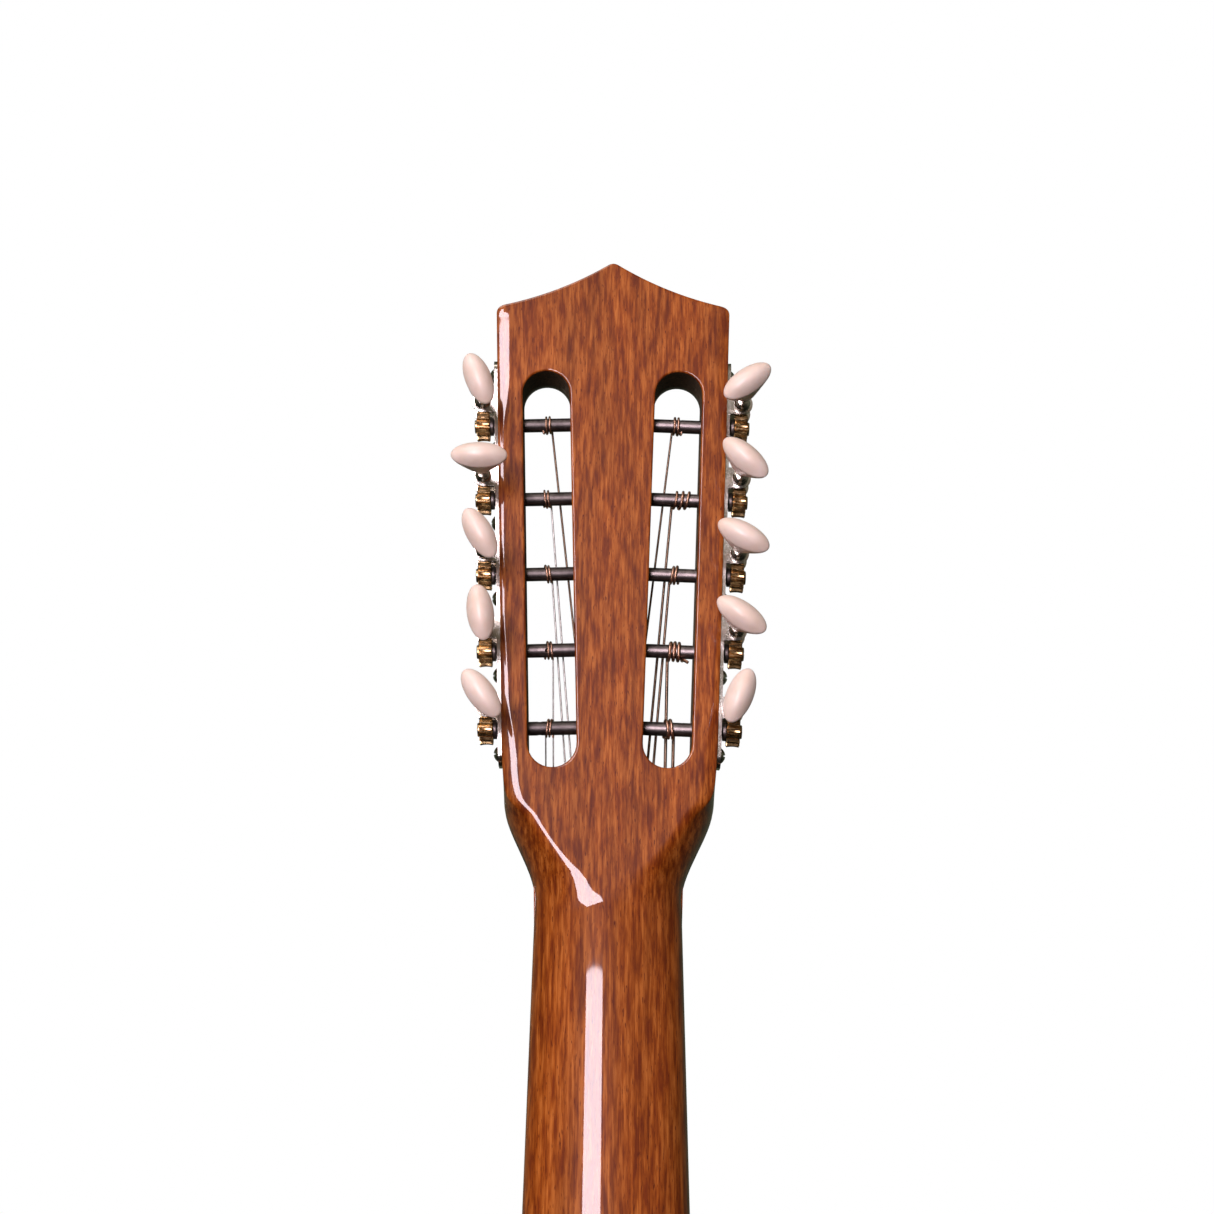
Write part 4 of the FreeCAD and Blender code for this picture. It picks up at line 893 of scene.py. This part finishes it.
def pearl():
    """Mother of pearl: cloudy pale patches of green, rose and blue."""
    material, nodes, links, shader = principled("pearl", (0.8, 0.82, 0.8), 0.12)
    cloud = noise(nodes, links, stretched(nodes, links, (1, 1, 0.4)), 700.0, 4.0, 0.7)
    stops = [(0.3, (0.62, 0.74, 0.70)), (0.5, (0.86, 0.84, 0.80)), (0.7, (0.78, 0.66, 0.72))]
    links.new(ramp(nodes, links, cloud, stops), shader.inputs["Base Color"])
    return material


def wound_bronze(name, color, groove):
    """Wrap wire round a string: fine ridges, groove of them in a length, with painted shade in the grooves.
    """
    material, nodes, links, shader = principled(name, color, 0.32, metallic=1.0)
    wave = nodes.new("ShaderNodeTexWave")
    wave.bands_direction = "Z"
    wave.inputs["Scale"].default_value = groove
    links.new(stretched(nodes, links, (1, 1, 1)), wave.inputs["Vector"])
    # the grooves between the turns are darkened to 0.45 of the colour: painted shade; the bump gives their
    # relief
    dark = tuple(c * 0.45 for c in color)
    tone = ramp(nodes, links, wave.outputs["Fac"], [(0.2, dark), (0.7, color)])
    links.new(tone, shader.inputs["Base Color"])
    bump(nodes, links, shader, wave.outputs["Fac"], 0.5, 0.00008)
    return material


RINGS_MIDDLE, RINGS_HALF_WIDTH, RINGS_HALF_HEIGHT = -0.517, 0.0565, 0.0425    # in metres


def rosette_rings():
    """Fine rings of dark and pale wood, worked out from the distance to the hole's middle."""
    material, nodes, links, shader = principled("rosette_rings", (0.3, 0.2, 0.1), 0.35, coat=0.6)
    coord = nodes.new("ShaderNodeTexCoord")
    apart = nodes.new("ShaderNodeSeparateXYZ")
    links.new(coord.outputs["Object"], apart.inputs["Vector"])
    across = arithmetic(nodes, links, "DIVIDE", apart.outputs["X"], RINGS_HALF_WIDTH)
    along = arithmetic(nodes, links, "SUBTRACT", apart.outputs["Z"], RINGS_MIDDLE)
    along = arithmetic(nodes, links, "DIVIDE", along, RINGS_HALF_HEIGHT)
    squares = arithmetic(nodes, links, "MULTIPLY", across, across)
    squares = arithmetic(nodes, links, "MULTIPLY_ADD", along, along, squares)
    ring = arithmetic(nodes, links, "SQRT", squares)
    pale, black, red = (0.62, 0.47, 0.27), (0.015, 0.012, 0.01), (0.20, 0.04, 0.02)
    stops = [(0.0, black), (0.10, pale), (0.16, black), (0.24, red), (0.36, pale), (0.46, black),
             (0.54, pale), (0.64, red), (0.76, black), (0.84, pale), (0.90, black)]
    share = arithmetic(nodes, links, "MULTIPLY_ADD", ring, 4.6, -4.1)
    lines = ramp(nodes, links, share, stops)
    nodes[-1].color_ramp.interpolation = "CONSTANT"
    links.new(lines, shader.inputs["Base Color"])
    return material


def all_materials():
    """Every material by its slot's name."""
    return {
        "mahogany": wood("mahogany", (0.41, 0.118, 0.020), (0.275, 0.062, 0.006), (0.155, 0.025, 0.003),
                         (0.09, 0.012, 0.002), pores_at=0.66, grain=SHORT_GRAIN, figure=720, contrast=0.14),
        # the slots' walls: unlacquered, matte wood; its colour is darkened far below the mahogany's to paint
        # the shade inside the slots
        "slot_wood_painted_shade": wood("bare_slot_wood_and_painted_shade", (0.12, 0.070, 0.040), (0.085, 0.050, 0.030),
                          (0.055, 0.034, 0.022), (0.030, 0.020, 0.014), coat=0.0, roughness=0.6, figure=430),
        "side_wood": wood("side_mahogany", (0.30, 0.095, 0.034), (0.20, 0.055, 0.019), (0.12, 0.029, 0.010),
                          (0.060, 0.014, 0.006), figure=200),
        "rosewood": wood("rosewood", (0.075, 0.034, 0.020), (0.040, 0.018, 0.011), (0.018, 0.009, 0.006),
                         (0.008, 0.004, 0.003), coat=0.5, roughness=0.4),
        "ebony": wood("ebony", (0.028, 0.023, 0.020), (0.017, 0.014, 0.012), (0.010, 0.008, 0.007),
                      (0.004, 0.003, 0.003), coat=0.15, roughness=0.38),
        "spruce": wood("spruce", (0.74, 0.50, 0.25), (0.66, 0.42, 0.19), (0.50, 0.27, 0.10),
                       (0.42, 0.22, 0.09), pores_at=0.74, figure=420, contrast=0.2),
        "cedar": wood("cedar", (0.50, 0.26, 0.12), (0.42, 0.20, 0.09), (0.30, 0.13, 0.05), (0.20, 0.08, 0.03),
                      pores_at=0.70, coat=0.0, roughness=0.7),
        "rosette": rosette_rings(),
        "binding": bone("binding", (0.78, 0.68, 0.50)),
        "bone": bone("bone", (0.82, 0.76, 0.62)),
        "pearl": pearl(),
        "button": button_plastic(),
        "nickel": worn_metal("nickel", (0.72, 0.69, 0.65), 0.18, (0.48, 0.44, 0.38)),
        "roller_steel": worn_metal("dark_steel", (0.20, 0.17, 0.165), 0.40, (0.12, 0.10, 0.10)),
        "fret_wire": worn_metal("fret_wire", (0.70, 0.68, 0.62), 0.2, (0.5, 0.47, 0.40)),
        "string_steel": worn_metal("string_steel", (0.42, 0.40, 0.38), 0.3, (0.26, 0.24, 0.22), scale=3000),
        "bronze": wound_bronze("wound_bronze", (0.34, 0.22, 0.15), 900.0),
        "copper": wound_bronze("string_turns", (0.85, 0.50, 0.34), 1100.0),
        "brass": worn_metal("brass", (0.66, 0.45, 0.23), 0.24, (0.28, 0.17, 0.08), scale=1400),
    }


# CAD pieces that keep their shape, and those whose edges are eased by so many millimetres
PAINT = {
    "heel_cap": "binding", "truss_rod": "roller_steel", "soundboard": "spruce", "rosette": "rosette",
    "back": "side_wood", "side_bass": "side_wood", "side_treble": "side_wood", "linings": "cedar",
    "neck_block": "cedar", "tail_block": "cedar", "braces": "spruce", "strings_plain": "string_steel",
    "strings_wound": "bronze", "position_dots": "pearl", "truss_rod_nut": "brass", "end_pin": "ebony",
}
EASED = {
    "head_veneer": ("rosewood", 0.3), "fingerboard": ("ebony", 0.5), "frets": ("fret_wire", 0.4),
    "nut": ("bone", 0.4), "saddle": ("bone", 0.5), "bridge": ("rosewood", 0.9), "tailpiece": ("nickel", 0.35),
    "tailpiece_screws": ("nickel", 0.2), "tuner_plate_treble": ("nickel", 0.22),
    "tuner_plate_bass": ("nickel", 0.22), "tuner_plate_screws": ("nickel", 0.18),
    "bindings": ("binding", 0.6),
}


def paint_nodes(made):
    """Gives the CAD pieces their materials."""
    for node, slot in PAINT.items():
        mesh = frame["nodes"][node].data
        mesh.materials.clear()
        mesh.materials.append(made[slot])
    for node, (slot, width) in EASED.items():
        softened(node, width, made[slot])


def tuning_machines(made):
    """The ten machines with the strings' turns on them."""
    for side in ("treble", "bass"):
        for place in range(len(ROLLER_S)):
            roller(side, place, made["roller_steel"])
            gear(side, place, made["brass"])
            gear_screw(side, place, made["brass"])
            worm(side, place, made["nickel"])
            button(side, place, made["button"])
            winding(side, place, made["copper"])


# ---------------------------------------------------------------- camera, light and surroundings
def camera():
    """Behind and a little below the head, looking up at its back."""
    yaw, pitch, roll = math.radians(-0.155), math.radians(24.747), math.radians(0.449)
    forward = Vector((math.sin(yaw) * math.cos(pitch), -math.cos(yaw) * math.cos(pitch), math.sin(pitch)))
    right = forward.cross(Vector((0, 0, 1))).normalized()
    up = right.cross(forward)
    turn = Matrix.Rotation(roll, 3, -forward)
    right, up = turn @ right, turn @ up
    data = bpy.data.cameras.new("camera")
    data.lens = 57.17
    data.sensor_width = 36.0
    data.clip_start = 0.01
    view = bpy.data.objects.new("camera", data)
    matrix = Matrix((right, up, -forward)).transposed().to_4x4()
    matrix.translation = Vector((2.817, 615.74, -181.59)) * MM
    view.matrix_world = matrix
    bpy.context.scene.collection.objects.link(view)
    bpy.context.scene.camera = view


def softbox(name, place, target, width, height, radiance, color, seen_in_gloss=True):
    """A rectangular light of an even brightness."""
    data = bpy.data.lights.new(name, "AREA")
    data.shape = "RECTANGLE"
    data.size, data.size_y = width, height
    data.energy = radiance * math.pi * width * height
    data.color = color
    light = bpy.data.objects.new(name, data)
    light.location = place
    direction = Vector(target) - Vector(place)
    light.rotation_euler = direction.to_track_quat("-Z", "Y").to_euler()
    light.visible_glossy = seen_in_gloss
    light.visible_camera = False
    bpy.context.scene.collection.objects.link(light)


def polar(azimuth, elevation, distance):
    """A place round the nut; azimuth is from +Y towards +X."""
    a, e = math.radians(azimuth), math.radians(elevation)
    level = distance * math.cos(e)
    return (level * math.sin(a), level * math.cos(a), distance * math.sin(e))


def lights():
    """A tall window behind the camera and to its left, and two soft fills."""
    softbox("window", (0.495, 2.0, -0.205), (0.0, 0, -0.205), 0.63, 1.43, 18.0, (1.0, 0.88, 0.97))
    softbox("high_fill", polar(35, 46, 1.8), (0, 0, 0.05), 1.2, 0.9, 3.2, (1.0, 0.95, 0.90))
    softbox("front_fill", polar(160, 30, 2.2), (0, 0, -0.3), 1.6, 1.6, 5.5, (1.0, 0.97, 0.93), False)


def room():
    """Dim greenish surroundings, a little lighter behind the camera."""
    world = bpy.data.worlds.new("room")
    bpy.context.scene.world = world
    world.use_nodes = True
    nodes, links = world.node_tree.nodes, world.node_tree.links
    coord = nodes.new("ShaderNodeTexCoord")
    apart = nodes.new("ShaderNodeSeparateXYZ")
    links.new(coord.outputs["Generated"], apart.inputs["Vector"])
    facing = arithmetic(nodes, links, "MULTIPLY_ADD", apart.outputs["Y"], 0.5, 0.5)
    tint = ramp(nodes, links, facing, [(0.0, (0.10, 0.11, 0.075)), (0.45, (0.05, 0.06, 0.035)),
                                       (0.8, (0.19, 0.165, 0.13)), (1.0, (0.27, 0.235, 0.18))])
    height = arithmetic(nodes, links, "MULTIPLY_ADD", apart.outputs["Z"], 0.5, 0.5)
    shade = ramp(nodes, links, height, [(0.25, (0.12,) * 3), (0.5, (0.9,) * 3), (1.0, (1.0,) * 3)])
    links.new(mix(nodes, links, "MULTIPLY", 1.0, tint, shade), nodes["Background"].inputs["Color"])


def surround():
    """A pale dome that only the camera sees."""
    bm = bmesh.new()
    bmesh.ops.create_icosphere(bm, subdivisions=4, radius=9.0)
    mesh = bpy.data.meshes.new("surround")
    bm.to_mesh(mesh)
    bm.free()
    dome = bpy.data.objects.new("surround", mesh)
    pale = bpy.data.materials.new("pale_surround")
    pale.use_nodes = True
    nodes, links = pale.node_tree.nodes, pale.node_tree.links
    nodes.clear()
    glow = nodes.new("ShaderNodeEmission")
    output = nodes.new("ShaderNodeOutputMaterial")
    links.new(glow.outputs["Emission"], output.inputs["Surface"])
    mesh.materials.append(pale)
    dome.visible_diffuse = False
    dome.visible_glossy = False
    dome.visible_transmission = False
    dome.visible_shadow = False
    bpy.context.scene.collection.objects.link(dome)


def pale_floor():
    """The floor that the instrument stands on."""
    bm = bmesh.new()
    bmesh.ops.create_grid(bm, x_segments=1, y_segments=1, size=4.0)
    mesh = bpy.data.meshes.new("floor")
    bm.to_mesh(mesh)
    bm.free()
    floor = bpy.data.objects.new("floor", mesh)
    floor.location = (0, 0, CAD_BOX[0][2] - 0.0005)
    plain, _, _, shader = principled("pale_floor", (0.82, 0.82, 0.81), 0.7)
    shader.inputs["Emission Color"].default_value = (0.84, 0.84, 0.83, 1.0)
    shader.inputs["Emission Strength"].default_value = 0.55
    mesh.materials.append(plain)
    floor.visible_diffuse = False
    floor.visible_glossy = False
    bpy.context.scene.collection.objects.link(floor)


def main():
    """Everything in its order: the surroundings, the neck, the CAD pieces, the machines."""
    camera()
    lights()
    room()
    surround()
    pale_floor()
    bpy.context.scene.view_settings.view_transform = "Standard"
    made = all_materials()
    neck = build_neck(made["mahogany"], made["slot_wood_painted_shade"])
    for cutter in bore_cutters():
        carve(neck, cutter)
    paint_nodes(made)
    tuning_machines(made)


main()
